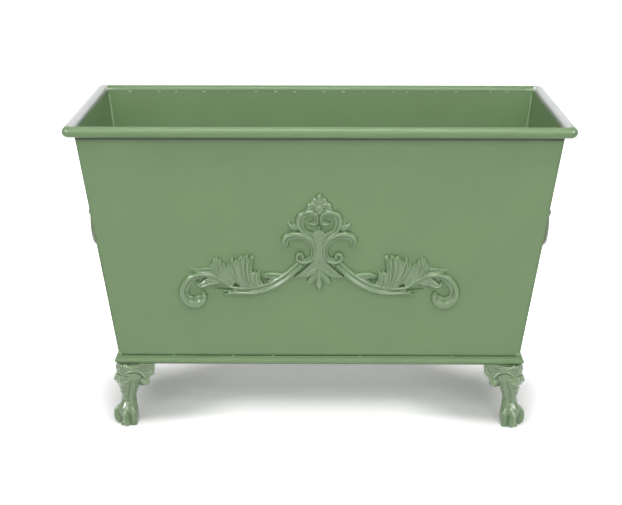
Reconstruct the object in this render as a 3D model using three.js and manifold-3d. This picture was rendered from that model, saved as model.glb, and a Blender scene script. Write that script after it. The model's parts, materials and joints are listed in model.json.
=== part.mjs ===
// Tapered sheet-metal trough planter on four cast paw feet, with a rolled tube rim,
// a moulded base band, a cast scroll ornament on the front and a drop handle on each end.
// Millimetres, +Z up. The origin is on the floor, under the middle of the trough.
// The front, with the ornament, faces -Y. The long side runs along X.

import * as THREE from 'three';
import { mergeVertices } from 'three/addons/utils/BufferGeometryUtils.js';
import Module from 'manifold-3d';

const wasm = await Module();
wasm.setup();

// ---------------------------------------------------------------- driving dimensions

const joinGap = 0.3; // clearance wherever two pieces meet

const rimLength = 800; // over the rim, along X
const rimDepth = 380; // over the rim, along Y
const overallHeight = 527;
const rimTube = 17; // outside diameter of the rim tube
const rimTubeWall = 1.5;
const rimReturn = 9; // straight stub past each rim corner, up to the butt joint

const sheet = 1.5; // thickness of the walls
const flare = 1 / 8; // how far every wall leans out, for each unit of height
const floorThickness = 2;
const drainDiameter = 14;
const drainPitch = 200;
const drainCount = 3;
const seamRadius = 5; // hollow weld down each inside corner
const seamDrop = 6; // the weld stops this far below the top of the walls

const mouldingHeight = 15.2;
const mouldingProjection = 8;
const mouldingLip = 3.4; // projection of the flat lip along its top
const mouldingLipHeight = 3;
const mouldingNose = 7.6; // from the top down to the furthest point of the nose

const footHeight = 112;
const plateSide = 60; // square mounting plate on top of each foot
const footPlate = 3; // its thickness
const plateOverhang = 3; // plate past the bottom corner of the walls
const kneeRadius = 21.5;
const ankleRadius = 12.6;
const pawRadius = 17;
const soleRadius = 12.5;
const toeLength = 34;
const toeWidth = 15.2;
const toeHeight = 37.5; // top of the knuckles above the floor
const wingReach = 55.5; // from the corner to the tip of the carved bracket
const wingDrop = 41; // depth of the bracket below the plate
const wingThickness = 19;
const wingRounding = 2.5;
const wingProud = 1; // of the bracket past the corner line of the walls

const boltDiameter = 8;
const boltHeadAcross = 13;
const boltHeadHeight = 5;
const boltLength = 19; // of shank under the head
const boltFar = 44; // bolt centre from one outer face of the walls, and
const boltNear = 16; // from the other
const boltClearance = 0.4; // round each shank
const boltEndRoom = 1; // of hole past the end of each shank
const bossWall = 3.4; // of casting round a bolt hole

const ornamentHeight = 332; // of the ornament's waist above the floor
const ornamentWidth = 458.4; // over both end scrolls
const ornamentRelief = 10; // of its highest stroke above the wall

const handleHeight = 354.5; // of the pivot above the floor
const handleStandOff = 16.2; // level distance from the wall to the pivot
const bailHalfWidth = 54;
const bailDrop = 15; // straight part of each arm
const bailArc = 50; // depth of the half-oval grip below the arms
const bailRod = 11;
const bailStub = 8; // diameter of the turned-in ends
const lugThickness = 8;
const lugRadius = 8.5;
const lugFlare = 3; // widening of a lug at its root
const lugGap = 1; // between a lug and the arm beside it
const stubPast = 3; // of turned-in end past its lug
const pivotClearance = 0.6; // round the stub in its lug
const plateWidth = 118;
const plateHeight = 42;
const plateThickness = 3;
const rivetDiameter = 6;
const rivetHead = 11;
const rivetHeadHeight = 2.6;
const rivetAcross = 44; // rivet spacing along the plate
const rivetUp = 24; // rivet spacing up the plate
const rivetClearance = 0.35;

// ---------------------------------------------------------------- derived sizes

const rimRadius = rimTube / 2;
const rimZ = overallHeight - rimRadius; // middle of the rim tube, and top of the walls
const rimX = rimLength / 2 - rimRadius; // centre lines of the rim tubes
const rimY = rimDepth / 2 - rimRadius;
const wallBottom = footHeight + joinGap;
const floorTop = wallBottom + floorThickness;
const topHalfLength = rimLength / 2 - rimTube - joinGap;
const topHalfDepth = rimDepth / 2 - rimTube - joinGap;
const leanAngle = Math.atan(flare);

// Half length and half depth over the outside of the walls at a height.
const halfLength = (z) => topHalfLength - flare * (rimZ - z);
const halfDepth = (z) => topHalfDepth - flare * (rimZ - z);

const cornerX = halfLength(wallBottom);
const cornerY = halfDepth(wallBottom);

const corners = [
  { name: 'back_right', signX: 1, signY: 1, turn: 0 },
  { name: 'back_left', signX: -1, signY: 1, turn: Math.PI / 2 },
  { name: 'front_left', signX: -1, signY: -1, turn: Math.PI },
  { name: 'front_right', signX: 1, signY: -1, turn: -Math.PI / 2 },
];

// Where the two bolts of a foot stand, measured in from the corner of the walls.
const boltPlaces = [[boltFar, boltNear], [boltNear, boltFar]];

const pivotOut = handleStandOff * Math.cos(leanAngle); // from the wall, square to it
const lugOuter = bailHalfWidth - bailRod / 2 - lugGap;
const rivetPlaces = [-1, 1].flatMap((y) => [-1, 1].map((z) =>
  [(y * rivetAcross) / 2, (z * rivetUp) / 2]));

// ---------------------------------------------------------------- finishes

const finish = (color, roughness, metalness) => () =>
  new THREE.MeshStandardMaterial({ color, roughness, metalness, flatShading: true });

const greenSheet = finish(0x7d936e, 0.35, 0.0);
const greenCasting = finish(0x7d936e, 0.3, 0.0);
const greySheet = finish(0xcfd1d0, 0.3, 0.0);
const zincFastener = finish(0xa9adac, 0.4, 0.8);

// ---------------------------------------------------------------- solids

// Sum over the triangles of the volume between each one and the origin.
function signedVolume(places, faces) {
  const [a, b, c] = [new THREE.Vector3(), new THREE.Vector3(), new THREE.Vector3()];
  let volume = 0;
  for (let i = 0; i < faces.length; i += 3) {
    a.fromArray(places, 3 * faces[i]);
    b.fromArray(places, 3 * faces[i + 1]);
    c.fromArray(places, 3 * faces[i + 2]);
    volume += a.dot(b.cross(c)) / 6;
  }
  return volume;
}

// A closed solid from a geometry: shared vertices joined, empty triangles dropped and
// every face turned outward.
function solid(geometry) {
  const bare = new THREE.BufferGeometry();
  bare.setAttribute('position', geometry.attributes.position);
  bare.setIndex(geometry.index);
  const merged = mergeVertices(bare, 1e-4);
  const places = merged.attributes.position.array;
  const index = merged.index.array;
  const faces = [];
  for (let i = 0; i < index.length; i += 3) {
    const [a, b, c] = index.slice(i, i + 3);
    if (a !== b && b !== c && c !== a) faces.push(a, b, c);
  }
  if (signedVolume(places, faces) < 0) faces.reverse();
  return new wasm.Manifold(new wasm.Mesh({
    numProp: 3,
    vertProperties: new Float32Array(places),
    triVerts: new Uint32Array(faces),
  }));
}

function geometryOf(body) {
  const mesh = body.getMesh();
  const geometry = new THREE.BufferGeometry();
  geometry.setAttribute('position', new THREE.BufferAttribute(mesh.vertProperties, 3));
  geometry.setIndex(new THREE.BufferAttribute(mesh.triVerts, 1));
  return geometry;
}

const union = (solids) => solids.reduce((sum, next) => sum.add(next));
const cut = (body, tools) => tools.reduce((rest, tool) => rest.subtract(tool), body);

// A solid skinned over rings of points that all have the same count, with flat ends.
// The flat outline gives the triangles of the ends, and is left out for convex rings.
function loft(rings, outline = null) {
  const sides = rings[0].length;
  const last = (rings.length - 1) * sides;
  const faces = [];
  for (let r = 0; r < last; r += sides) {
    for (let i = 0; i < sides; i += 1) {
      const a = r + i;
      const b = r + ((i + 1) % sides);
      faces.push(a, b, b + sides, a, b + sides, a + sides);
    }
  }
  const fan = Array.from({ length: sides - 2 }, (_, i) => [0, i + 1, i + 2]);
  const clockwise = outline && THREE.ShapeUtils.isClockWise(outline);
  for (const cap of outline ? THREE.ShapeUtils.triangulateShape(outline, []) : fan) {
    const [a, b, c] = clockwise ? cap.slice().reverse() : cap;
    faces.push(c, b, a, last + a, last + b, last + c);
  }
  const geometry = new THREE.BufferGeometry().setFromPoints(rings.flat());
  return solid(geometry.setIndex(faces));
}

const block = (x, y, z, at) => solid(new THREE.BoxGeometry(x, y, z).translate(...at));

// A cylinder from one point to another.
function rod(from, to, radius, sides) {
  const along = new THREE.Vector3().subVectors(to, from);
  const middle = new THREE.Vector3().addVectors(from, to).multiplyScalar(0.5);
  const turn = new THREE.Quaternion().setFromUnitVectors(
    new THREE.Vector3(0, 1, 0), along.clone().normalize());
  return solid(new THREE.CylinderGeometry(radius, radius, along.length(), sides)
    .applyQuaternion(turn).translate(middle.x, middle.y, middle.z));
}

const ball = (at, radius, sides) => solid(new THREE.SphereGeometry(radius, sides, sides / 2)
  .rotateX(Math.PI / 2).translate(at.x, at.y, at.z));

const extrude = (shape, depth, settings = {}) => new THREE.ExtrudeGeometry(shape, {
  depth, bevelEnabled: false, curveSegments: 5, ...settings,
});

// ---------------------------------------------------------------- pieces of the trough

// A strip along one side of the trough that follows the lean of the wall and is
// mitred at both corners. Each outline point is [distance outside the wall, height].
function mitredStrip(outline, side) {
  const mitreGap = joinGap * Math.SQRT1_2;
  const alongX = side === 'front' || side === 'back';
  const sign = side === 'back' || side === 'right' ? 1 : -1;
  const end = (direction) => outline.map(([out, z]) => {
    const x = halfLength(z) + out;
    const y = halfDepth(z) + out;
    return alongX
      ? new THREE.Vector3(direction * (x - mitreGap), sign * y, z)
      : new THREE.Vector3(sign * x, direction * (y - mitreGap), z);
  });
  return loft([end(-1), end(1)], outline.map(([out, z]) => new THREE.Vector2(out, z)));
}

const wallOutline = [[0, wallBottom], [0, rimZ], [-sheet, rimZ], [-sheet, wallBottom]];

// Lip, hollow, rounded nose and undercut of the base moulding, from the top down.
function mouldingOutline() {
  const top = wallBottom + mouldingHeight;
  const lipEnd = new THREE.Vector2(mouldingLip, top - mouldingLipHeight);
  const nose = new THREE.Vector2(mouldingProjection, top - mouldingNose);
  const tuck = new THREE.Vector2(mouldingLip, wallBottom + mouldingHeight * 0.13);
  const between = (a, b, share) => a + (b - a) * share;
  const hollow = new THREE.CubicBezierCurve(
    lipEnd,
    new THREE.Vector2(lipEnd.x, between(lipEnd.y, nose.y, 0.6)),
    new THREE.Vector2(nose.x, between(lipEnd.y, nose.y, 0.4)),
    nose,
  );
  const undercut = new THREE.CubicBezierCurve(
    nose,
    new THREE.Vector2(nose.x, between(nose.y, tuck.y, 0.6)),
    new THREE.Vector2(between(nose.x, tuck.x, 0.4), between(nose.y, tuck.y, 0.85)),
    tuck,
  );
  const face = [...hollow.getPoints(5), ...undercut.getPoints(4).slice(1)];
  return [
    [joinGap, top],
    [mouldingLip, top],
    ...face.map((point) => [point.x, point.y]),
    [mouldingLip, wallBottom],
    [joinGap, wallBottom],
  ];
}

// Hollow weld down one inside corner.
function cornerSeam(signX, signY) {
  const steps = 4;
  const outline = [[0, 0]];
  for (let i = 0; i <= steps; i += 1) {
    const angle = (Math.PI / 2) * (i / steps);
    outline.push([seamRadius * (1 - Math.sin(angle)), seamRadius * (1 - Math.cos(angle))]);
  }
  const ring = (z) => outline.map(([inX, inY]) => new THREE.Vector3(
    signX * (halfLength(z) - sheet - joinGap - inX),
    signY * (halfDepth(z) - sheet - joinGap - inY),
    z,
  ));
  const flat = outline.map(([inX, inY]) => new THREE.Vector2(inX, inY));
  return loft([ring(floorTop + joinGap), ring(rimZ - seamDrop)], flat);
}

function floorPan() {
  const inset = sheet + joinGap;
  const middle = (wallBottom + floorTop) / 2;
  const pan = block(2 * (cornerX - inset), 2 * (cornerY - inset), floorThickness,
    [0, 0, middle]);
  const hole = (x, y, radius, sides) => rod(
    new THREE.Vector3(x, y, middle - floorThickness),
    new THREE.Vector3(x, y, middle + floorThickness), radius, sides);
  const drains = Array.from({ length: drainCount }, (_, i) =>
    hole((i - (drainCount - 1) / 2) * drainPitch, 0, drainDiameter / 2, 16));
  const bolts = corners.flatMap(({ signX, signY }) => boltPlaces.map(([inX, inY]) => hole(
    signX * (cornerX - inX), signY * (cornerY - inY),
    boltDiameter / 2 + boltClearance, 12)));
  return cut(pan, [...drains, ...bolts]);
}

// The end wall, with the holes for its rivets.
function endWall(side) {
  const frame = wallFrame(side === 'right' ? 1 : -1);
  const holes = rivetPlaces.map(([y, z]) => rod(
    new THREE.Vector3(-2 * sheet, y, z).applyMatrix4(frame),
    new THREE.Vector3(sheet, y, z).applyMatrix4(frame),
    rivetDiameter / 2 + rivetClearance, 10));
  return cut(mitredStrip(wallOutline, side), holes);
}

// Frame on an end wall's outer face, level with the handle's pivot: X out of the wall,
// Y along it and Z up it.
function wallFrame(sign) {
  const z = handleHeight + pivotOut * Math.sin(leanAngle);
  const turn = new THREE.Matrix4().makeRotationZ(sign > 0 ? 0 : Math.PI);
  return new THREE.Matrix4().makeTranslation(sign * halfLength(z), 0, z)
    .multiply(turn).multiply(new THREE.Matrix4().makeRotationY(leanAngle));
}

// ---------------------------------------------------------------- rim

// A round tube through a row of level points, with a ball at each bend and open ends.
function bentTube(corners2d) {
  const sides = 16;
  const path = corners2d.map(([x, y]) => new THREE.Vector3(x, y, rimZ));
  const core = (radius, past) => {
    const runs = path.slice(1).map((to, i) => {
      const along = new THREE.Vector3().subVectors(to, path[i]).normalize();
      const start = path[i].clone().addScaledVector(along, i === 0 ? -past : 0);
      const end = to.clone().addScaledVector(along, i + 2 === path.length ? past : 0);
      return rod(start, end, radius, sides);
    });
    return union([...runs, ...path.slice(1, -1).map((bend) => ball(bend, radius, sides))]);
  };
  return core(rimRadius, 0).subtract(core(rimRadius - rimTubeWall, rimTubeWall));
}

const rimFront = () => bentTube([
  [-rimX, rimReturn - rimY], [-rimX, -rimY], [rimX, -rimY], [rimX, rimReturn - rimY]]);

const rimEnd = (sign) => bentTube([
  [sign * rimX, rimReturn + joinGap - rimY],
  [sign * rimX, rimY],
  [sign * (rimX - rimReturn), rimY]]);

const rimBack = () => bentTube([
  [rimReturn + joinGap - rimX, rimY], [rimX - rimReturn - joinGap, rimY]]);

// ---------------------------------------------------------------- feet

// A foot stands in its own frame: the origin is under the outer corner of the walls,
// +X and +Y point out of the trough, and the foot is the same on both sides of the
// diagonal between them.
const legHeight = footHeight - footPlate;

// Round sections from the plate down: share of the leg's height, distance in from the
// corner along the diagonal, as a share of the knee's radius, and radius.
const legSections = [
  [1.0, 0.884, kneeRadius],
  [0.89, 0.744, kneeRadius],
  [0.79, 0.67, kneeRadius],
  [0.71, 0.647, kneeRadius * 0.95],
  [0.655, 0.693, kneeRadius * 0.86],
  [0.61, 0.712, kneeRadius * 0.79],
  [0.54, 0.67, ankleRadius * 1.16],
  [0.48, 0.665, ankleRadius],
  [0.4, 0.684, ankleRadius],
  [0.34, 0.581, ankleRadius * 1.16],
  [0.28, 0.512, pawRadius],
  [0.18, 0.581, pawRadius],
  [0.08, 0.698, pawRadius * 0.92],
  [0.0, 0.791, soleRadius],
];

function leg() {
  const sides = 12;
  const overFlats = 1 / Math.cos(Math.PI / sides);
  return loft(legSections.map(([share, inward, radius]) => {
    const centre = -inward * kneeRadius * Math.SQRT1_2;
    return Array.from({ length: sides }, (_, i) => {
      const angle = (2 * Math.PI * (i + 0.5)) / sides;
      return new THREE.Vector3(
        centre + radius * overFlats * Math.cos(angle),
        centre + radius * overFlats * Math.sin(angle), share * legHeight);
    });
  }));
}

// Toes fan out from a point at the back of the paw: degrees from the diagonal, and
// reach as a share of the paw's radius.
const toeRoot = -1.06 * pawRadius;
const toePlaces = [[-45, 0.59], [-17, 1.235], [17, 1.235], [45, 0.59]];

// One toe: an egg on end, standing a little into the floor plane that cuts it flat.
function toe([degrees, reach]) {
  const egg = new THREE.SphereGeometry(0.5, 8, 6).rotateX(Math.PI / 2)
    .scale(toeLength, toeWidth, toeHeight * 1.07)
    .translate(reach * pawRadius, 0, toeHeight * 0.465)
    .rotateZ(THREE.MathUtils.degToRad(45 + degrees))
    .translate(toeRoot, toeRoot, 0);
  return solid(egg);
}

// Carved bracket beside the knee, along one wall: flat top, stepped tip, round bottom.
function wing() {
  const at = (along, down) => [-along * wingReach, legHeight - down * wingDrop];
  const root = -wingThickness / 2;
  const shape = new THREE.Shape();
  shape.moveTo(root, legHeight + footPlate / 2);
  shape.lineTo(-wingReach, legHeight + footPlate / 2);
  shape.lineTo(...at(0.99, 0.3));
  shape.quadraticCurveTo(...at(0.97, 0.5), ...at(0.84, 0.62));
  shape.bezierCurveTo(...at(0.84, 0.85), ...at(0.75, 1), ...at(0.57, 1));
  shape.lineTo(root, legHeight - wingDrop * 0.9);
  shape.closePath();
  return extrude(shape, wingThickness - 2 * wingRounding, {
    curveSegments: 4,
    bevelEnabled: true,
    bevelThickness: wingRounding,
    bevelSize: wingRounding,
    bevelOffset: -wingRounding,
    bevelSegments: 1,
  }).translate(0, 0, wingRounding - wingThickness / 2).rotateX(Math.PI / 2);
}

function foot() {
  const inset = wingProud - wingThickness / 2;
  const wings = [
    solid(wing().translate(0, inset, 0)),
    solid(wing().rotateZ(Math.PI / 2).translate(inset, 0, 0)),
  ];
  const plateMiddle = plateOverhang - plateSide / 2;
  const plate = block(plateSide, plateSide, footPlate,
    [plateMiddle, plateMiddle, footHeight - footPlate / 2]);
  const holeDepth = boltLength - floorThickness;
  const upright = (low, high, radius) => boltPlaces.map(([inX, inY]) => rod(
    new THREE.Vector3(-inX, -inY, low), new THREE.Vector3(-inX, -inY, high), radius, 12));
  const bosses = upright(legHeight - holeDepth - bossWall, footHeight - footPlate / 2,
    boltDiameter / 2 + boltClearance + bossWall);
  const holes = upright(footHeight - holeDepth - boltEndRoom, footHeight + footPlate,
    boltDiameter / 2 + boltClearance);
  const whole = union([leg(), plate, ...wings, ...bosses, ...toePlaces.map(toe)]);
  const below = block(2 * plateSide, 2 * plateSide, plateSide,
    [plateMiddle, plateMiddle, -plateSide / 2]);
  return cut(whole, [below, ...holes]);
}

// Hexagon bolt whose head stands on Z = 0, its shank pointing down.
function footBolt() {
  const headRadius = boltHeadAcross / Math.sqrt(3);
  const axisPoint = (z) => new THREE.Vector3(0, 0, z);
  return union([
    rod(axisPoint(0), axisPoint(boltHeadHeight), headRadius, 6),
    rod(axisPoint(-boltLength), axisPoint(boltHeadHeight / 2), boltDiameter / 2, 12)]);
}

// ---------------------------------------------------------------- ornament

// The ornament is drawn flat on the front wall, from its waist: x to the right, y up the
// wall. Each stroke follows a smooth curve, given as [x, y, half width] knots, and stands
// out from the wall by its own relief. A roll is half-round and a leaf has a ridge. Where a
// stroke is drawn less than 6 wide on either side, it also gets lower.
const roll = (relief, ...knots) => ({ relief, knots, facets: 4 });
const leaf = (relief, ...knots) => ({ relief, knots, facets: 2 });

function stroke({ knots, relief, facets }, mirror, grow = 0) {
  const points = knots.map(([x, y, half]) => new THREE.Vector3(
    x * mirror * planScale, y * planScale, half * planScale + grow));
  const path = new THREE.CatmullRomCurve3(points, false, 'centripetal');
  const steps = Math.max(4, Math.round(knots.length * 1.2));
  const rings = [];
  for (let i = 0; i <= steps; i += 1) {
    const at = path.getPoint(i / steps);
    const along = path.getTangent(i / steps).setZ(0).normalize();
    const across = new THREE.Vector3(-along.y, along.x, 0);
    const fullness = Math.min(1, 0.35 + at.z / (6 * planScale));
    const lift = (relief * reliefScale + grow) * fullness;
    rings.push(Array.from({ length: facets + 1 }, (_, k) => {
      const angle = Math.PI * (k / facets);
      return new THREE.Vector3(at.x, at.y, joinGap - grow + lift * Math.sin(angle))
        .addScaledVector(across, at.z * Math.cos(angle));
    }));
  }
  return loft(rings);
}

// Left half of the centre piece, from the top down.
const heartScroll = roll(8, [-16.9, 35.7, 1], [-10.2, 34.7, 3], [-4.5, 38.3, 4.5],
  [-4, 44.9, 4.8], [-8.4, 50.9, 4.5], [-16.3, 53.1, 4.4], [-24.9, 50.9, 6], [-31, 43.6, 7],
  [-31.6, 34.3, 7], [-27.9, 24.4, 6], [-21.2, 16.5, 4.6], [-12.7, 9.2, 4], [-4.5, -1.3, 4]);
const shoulder = roll(6, [-3, 68, 4], [-9, 67.5, 5.6], [-14.5, 64, 5.6], [-17, 59, 3.4]);
const sideBud = leaf(5, [-32, 27, 3.5], [-38, 25.6, 4.6], [-44, 27.8, 4.4],
  [-48.9, 36.5, 0.8]);
const crownLeaf = leaf(6, [-5, 8, 3.4], [-12, 14.6, 3.4], [-17.5, 20.5, 0.9]);
const crownSpike = leaf(6, [-2.5, 9, 3], [-4, 15, 2.4], [-6, 20.5, 0.8]);
const sideScroll = roll(8, [-52.6, -5.8, 1.2], [-56.9, 1.3, 4.6], [-55, 9.2, 5.6],
  [-47, 14.5, 5.4], [-36, 14.8, 5], [-24.9, 12.9, 4.6], [-15.1, 6.6, 4.3], [-9, -2.7, 4.2],
  [-8.1, -13.6, 4.2], [-11, -23.6, 4.2], [-17.3, -31.5, 4.4], [-25.4, -34.4, 4.4],
  [-33, -31, 4], [-36.6, -24.4, 3.4], [-34.7, -18, 3], [-28.4, -16.2, 2.6],
  [-25.6, -21.5, 2.4]);
const lowerLeaf = leaf(6, [-2, -31, 6.5], [-10, -43, 8.4], [-20, -51.5, 8], [-31, -57.5, 5],
  [-39.8, -60, 1]);
const sidePetal = leaf(6, [-1, -48, 2.4], [-7, -59, 4.8], [-12.6, -68, 5.2],
  [-16.6, -71.6, 3.4]);
const pairedStrokes = [heartScroll, shoulder, sideBud, crownLeaf, crownSpike, sideScroll,
  lowerLeaf, sidePetal];

// Middle of the centre piece, from the top down.
const bud = roll(9, [0, 64, 7], [0, 72, 9], [0, 79, 6.4], [0, 84.6, 1]);
const shell = roll(10, [0, 50, 2.4], [0, 57, 6.6], [0, 64.5, 6.6]);
const spade = leaf(5, [0, 30, 1], [0, 25, 3.2], [0, 18, 2.4], [0, 10, 6]);
const waist = roll(8, [0, 14, 6], [0, 4, 6.4], [0, -10, 4.4], [0, -22, 6], [0, -34, 10],
  [0, -43, 4]);
const drop = roll(8, [0, -42, 2.5], [0, -58, 3], [0, -67, 3.8], [0, -76, 5], [0, -83.6, 2.6]);
const middleStrokes = [bud, shell, spade, waist, drop];

// Left arm, from the centre outward.
const lowerRoll = roll(8, [-30.6, -39.6, 3.2], [-47.3, -58.4, 3.5], [-62.9, -71.4, 3.6],
  [-80.9, -81.4, 3.7], [-100.6, -87.6, 3.7], [-118.6, -88.8, 3.6], [-136, -86.8, 3.4],
  [-154.6, -91, 0.9]);
const rollSpur = leaf(5, [-138, -84.5, 3.2], [-156, -84, 2.8], [-170.2, -80.5, 0.9]);
const upperRoll = roll(8, [-35.2, -36.8, 2.6], [-53.1, -54, 2.8], [-71.1, -67, 3],
  [-90.8, -75.8, 3.2], [-112, -80, 3.4], [-132, -80.6, 3.6], [-148.1, -76.4, 3.4],
  [-159.5, -66.4, 3.2], [-172.6, -58.4, 3.4], [-185.7, -55.4, 4], [-198.9, -56.7, 5.2],
  [-211.1, -64, 6.9], [-219, -76, 8], [-221.4, -88.8, 7.8], [-219.4, -99.6, 7.2],
  [-212.4, -107, 7], [-202.9, -109.2, 6.8], [-193.3, -105.6, 6.2], [-188, -98.4, 5.4],
  [-188.2, -91, 3.8]);
const earLeaf = leaf(5, [-170, -53, 4], [-185, -48.4, 4.8], [-198, -47.6, 3.6],
  [-208.4, -46, 0.8]);
const uprightLeaf = leaf(7, [-152, -70, 3.2], [-158.6, -57, 8.6], [-162.4, -44.6, 12],
  [-163.8, -33, 8.4], [-164.4, -24.6, 0.9]);
const smallLeaf = leaf(6, [-144, -74, 3], [-149, -62, 6], [-151, -51, 1.6]);
const stemLeaf = leaf(6, [-91.6, -57, 0.9], [-80, -60, 6.2], [-68, -62, 6.6], [-54, -55, 3]);
const underLeaf = leaf(6, [-152, -68.4, 3], [-168, -68, 5], [-182, -72, 7],
  [-193.6, -76.4, 5.4], [-197.6, -70.4, 2.4]);

// Lobes of the large and of the small acanthus leaf, from the end scroll inward.
const acanthusLobes = [
  leaf(6, [-124, -76, 3], [-136, -64, 5], [-143.6, -51, 5.4], [-146.2, -38, 1]),
  leaf(8, [-121, -76, 3], [-131.6, -60, 6], [-138.2, -43, 6.4], [-140, -25.6, 1]),
  leaf(8, [-117, -76, 3.4], [-126, -58, 6.4], [-129.8, -41, 7], [-126.6, -23.4, 1.6]),
  leaf(8, [-113, -77, 3.4], [-119.6, -58, 6], [-121, -41, 6.6], [-117.6, -21.8, 1.6]),
  leaf(7, [-108, -78, 3.2], [-113.6, -61, 5], [-115, -43, 6], [-109.4, -28, 1.6]),
  leaf(7, [-102, -79, 3.2], [-108, -67, 5], [-108.6, -50.6, 1.2]),
  leaf(6, [-98, -78, 3.2], [-101, -66, 5.4], [-97.4, -48.4, 1.2]),
];

const armStrokes = [lowerRoll, rollSpur, upperRoll, earLeaf, uprightLeaf, smallLeaf,
  stemLeaf, underLeaf, ...acanthusLobes];

// The drawing is stretched to the ornament's width, and its reliefs to the highest one.
const allStrokes = [...pairedStrokes, ...middleStrokes, ...armStrokes];
const planScale = ornamentWidth / 2 / Math.max(...allStrokes.flatMap(
  ({ knots }) => knots.map(([x, , half]) => half - x)));
const reliefScale = ornamentRelief / Math.max(...allStrokes.map(({ relief }) => relief));

const ornamentCentre = () => union([
  ...pairedStrokes.flatMap((one) => [stroke(one, 1), stroke(one, -1)]),
  ...middleStrokes.map((one) => stroke(one, 1))]);

// An arm stops short of the strokes of the centre piece that it runs up against.
const ornamentArm = (mirror) => cut(
  union(armStrokes.map((one) => stroke(one, mirror))),
  [sideScroll, lowerLeaf].map((one) => stroke(one, mirror, 2 * joinGap)));

// ---------------------------------------------------------------- handles

// Lug for the bail's turned-in end, its side seen along Y.
function lug(sign) {
  const root = joinGap + plateThickness / 2;
  const side = new THREE.Shape();
  side.moveTo(root, -lugRadius - lugFlare);
  side.absarc(pivotOut, 0, lugRadius, -Math.PI / 2, Math.PI / 2, false);
  side.lineTo(root, lugRadius + lugFlare);
  side.closePath();
  const outer = sign > 0 ? lugOuter : lugThickness - lugOuter;
  return solid(extrude(side, lugThickness).rotateX(Math.PI / 2).translate(0, outer, 0));
}

// Plate with round ends and two lugs, in the frame of the wall.
function handlePlate() {
  const end = plateHeight / 2;
  const straight = plateWidth / 2 - end;
  const oval = new THREE.Shape();
  oval.absarc(straight, 0, end, -Math.PI / 2, Math.PI / 2, false);
  oval.absarc(-straight, 0, end, Math.PI / 2, (3 * Math.PI) / 2, false);
  const plate = solid(extrude(oval, plateThickness)
    .rotateX(Math.PI / 2).rotateZ(Math.PI / 2).translate(joinGap, 0, 0));
  const pivot = rod(
    new THREE.Vector3(pivotOut, -plateWidth, 0), new THREE.Vector3(pivotOut, plateWidth, 0),
    bailStub / 2 + pivotClearance, 14);
  const rivetHoles = rivetPlaces.map(([y, z]) => rod(
    new THREE.Vector3(-plateThickness, y, z), new THREE.Vector3(3 * plateThickness, y, z),
    rivetDiameter / 2 + rivetClearance, 10));
  return cut(union([plate, lug(-1), lug(1)]), [pivot, ...rivetHoles]);
}

// Half of an upright oval, from -Y round the bottom to +Y.
class HalfOval extends THREE.Curve {
  getPoint(t, target = new THREE.Vector3()) {
    const angle = Math.PI * t;
    return target.set(0, -bailHalfWidth * Math.cos(angle),
      -bailDrop - bailArc * Math.sin(angle));
  }
}

// The bail hangs in its own frame: the pivot axis is Y, through the origin.
function bail() {
  const arm = (sign, from, to) => new THREE.LineCurve3(
    new THREE.Vector3(0, sign * bailHalfWidth, from),
    new THREE.Vector3(0, sign * bailHalfWidth, to));
  const path = new THREE.CurvePath();
  path.add(arm(-1, 0, -bailDrop));
  path.add(new HalfOval());
  path.add(arm(1, -bailDrop, 0));
  const section = new THREE.Shape();
  section.absarc(0, 0, bailRod / 2, 0, 2 * Math.PI, false);
  const grip = extrude(section, 0, { steps: 26, curveSegments: 4, extrudePath: path });
  const ends = [-1, 1].flatMap((sign) => {
    const top = new THREE.Vector3(0, sign * bailHalfWidth, 0);
    const tip = new THREE.Vector3(0, sign * (lugOuter - lugThickness - stubPast), 0);
    return [ball(top, bailRod * 0.53, 10), rod(top, tip, bailStub / 2, 12)];
  });
  return union([solid(grip), ...ends]);
}

// Rivet through the plate and the wall, its outer head on +X.
function rivet() {
  const shank = rivetDiameter / 2;
  const head = rivetHead / 2;
  const outside = 2 * joinGap + plateThickness;
  const inside = -sheet - joinGap;
  const profile = [
    [0, inside - rivetHeadHeight],
    [head * 0.8, inside - rivetHeadHeight / 2],
    [head * 0.8, inside],
    [shank, inside],
    [shank, outside],
    [head, outside],
    [head * 0.75, outside + rivetHeadHeight * 0.7],
    [0, outside + rivetHeadHeight],
  ];
  return solid(new THREE.LatheGeometry(
    profile.map(([radius, along]) => new THREE.Vector2(radius, along)), 10)
    .rotateZ(-Math.PI / 2));
}

// ---------------------------------------------------------------- assembly

function piece(name, body, material) {
  const mesh = new THREE.Mesh(geometryOf(body), material());
  mesh.name = name;
  return mesh;
}

function trough() {
  const group = new THREE.Group();
  for (const side of ['front', 'back']) {
    group.add(piece(`${side}_panel`, mitredStrip(wallOutline, side), greenSheet));
  }
  for (const side of ['left', 'right']) {
    group.add(piece(`${side}_end_panel`, endWall(side), greenSheet));
  }
  for (const side of ['front', 'back', 'left', 'right']) {
    const strip = mitredStrip(mouldingOutline(), side);
    group.add(piece(`base_moulding_${side}`, strip, greenSheet));
  }
  for (const { name, signX, signY } of corners) {
    group.add(piece(`corner_seam_${name}`, cornerSeam(signX, signY), greenSheet));
  }
  group.add(piece('floor_pan', floorPan(), greenSheet));
  return group;
}

function rim() {
  const group = new THREE.Group();
  group.add(piece('rim_front', rimFront(), greenSheet));
  group.add(piece('rim_back', rimBack(), greenSheet));
  group.add(piece('rim_left', rimEnd(-1), greySheet));
  group.add(piece('rim_right', rimEnd(1), greySheet));
  return group;
}

function feet() {
  const group = new THREE.Group();
  for (const { name, signX, signY, turn } of corners) {
    const corner = new THREE.Group();
    corner.position.set(signX * cornerX, signY * cornerY, 0);
    corner.rotation.z = turn;
    corner.add(piece(`foot_${name}`, foot(), greenCasting));
    boltPlaces.forEach(([inX, inY], i) => {
      const bolt = piece(`foot_bolt_${name}_${i + 1}`, footBolt(), zincFastener);
      bolt.position.set(-inX, -inY, floorTop + joinGap);
      corner.add(bolt);
    });
    group.add(corner);
  }
  return group;
}

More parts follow.
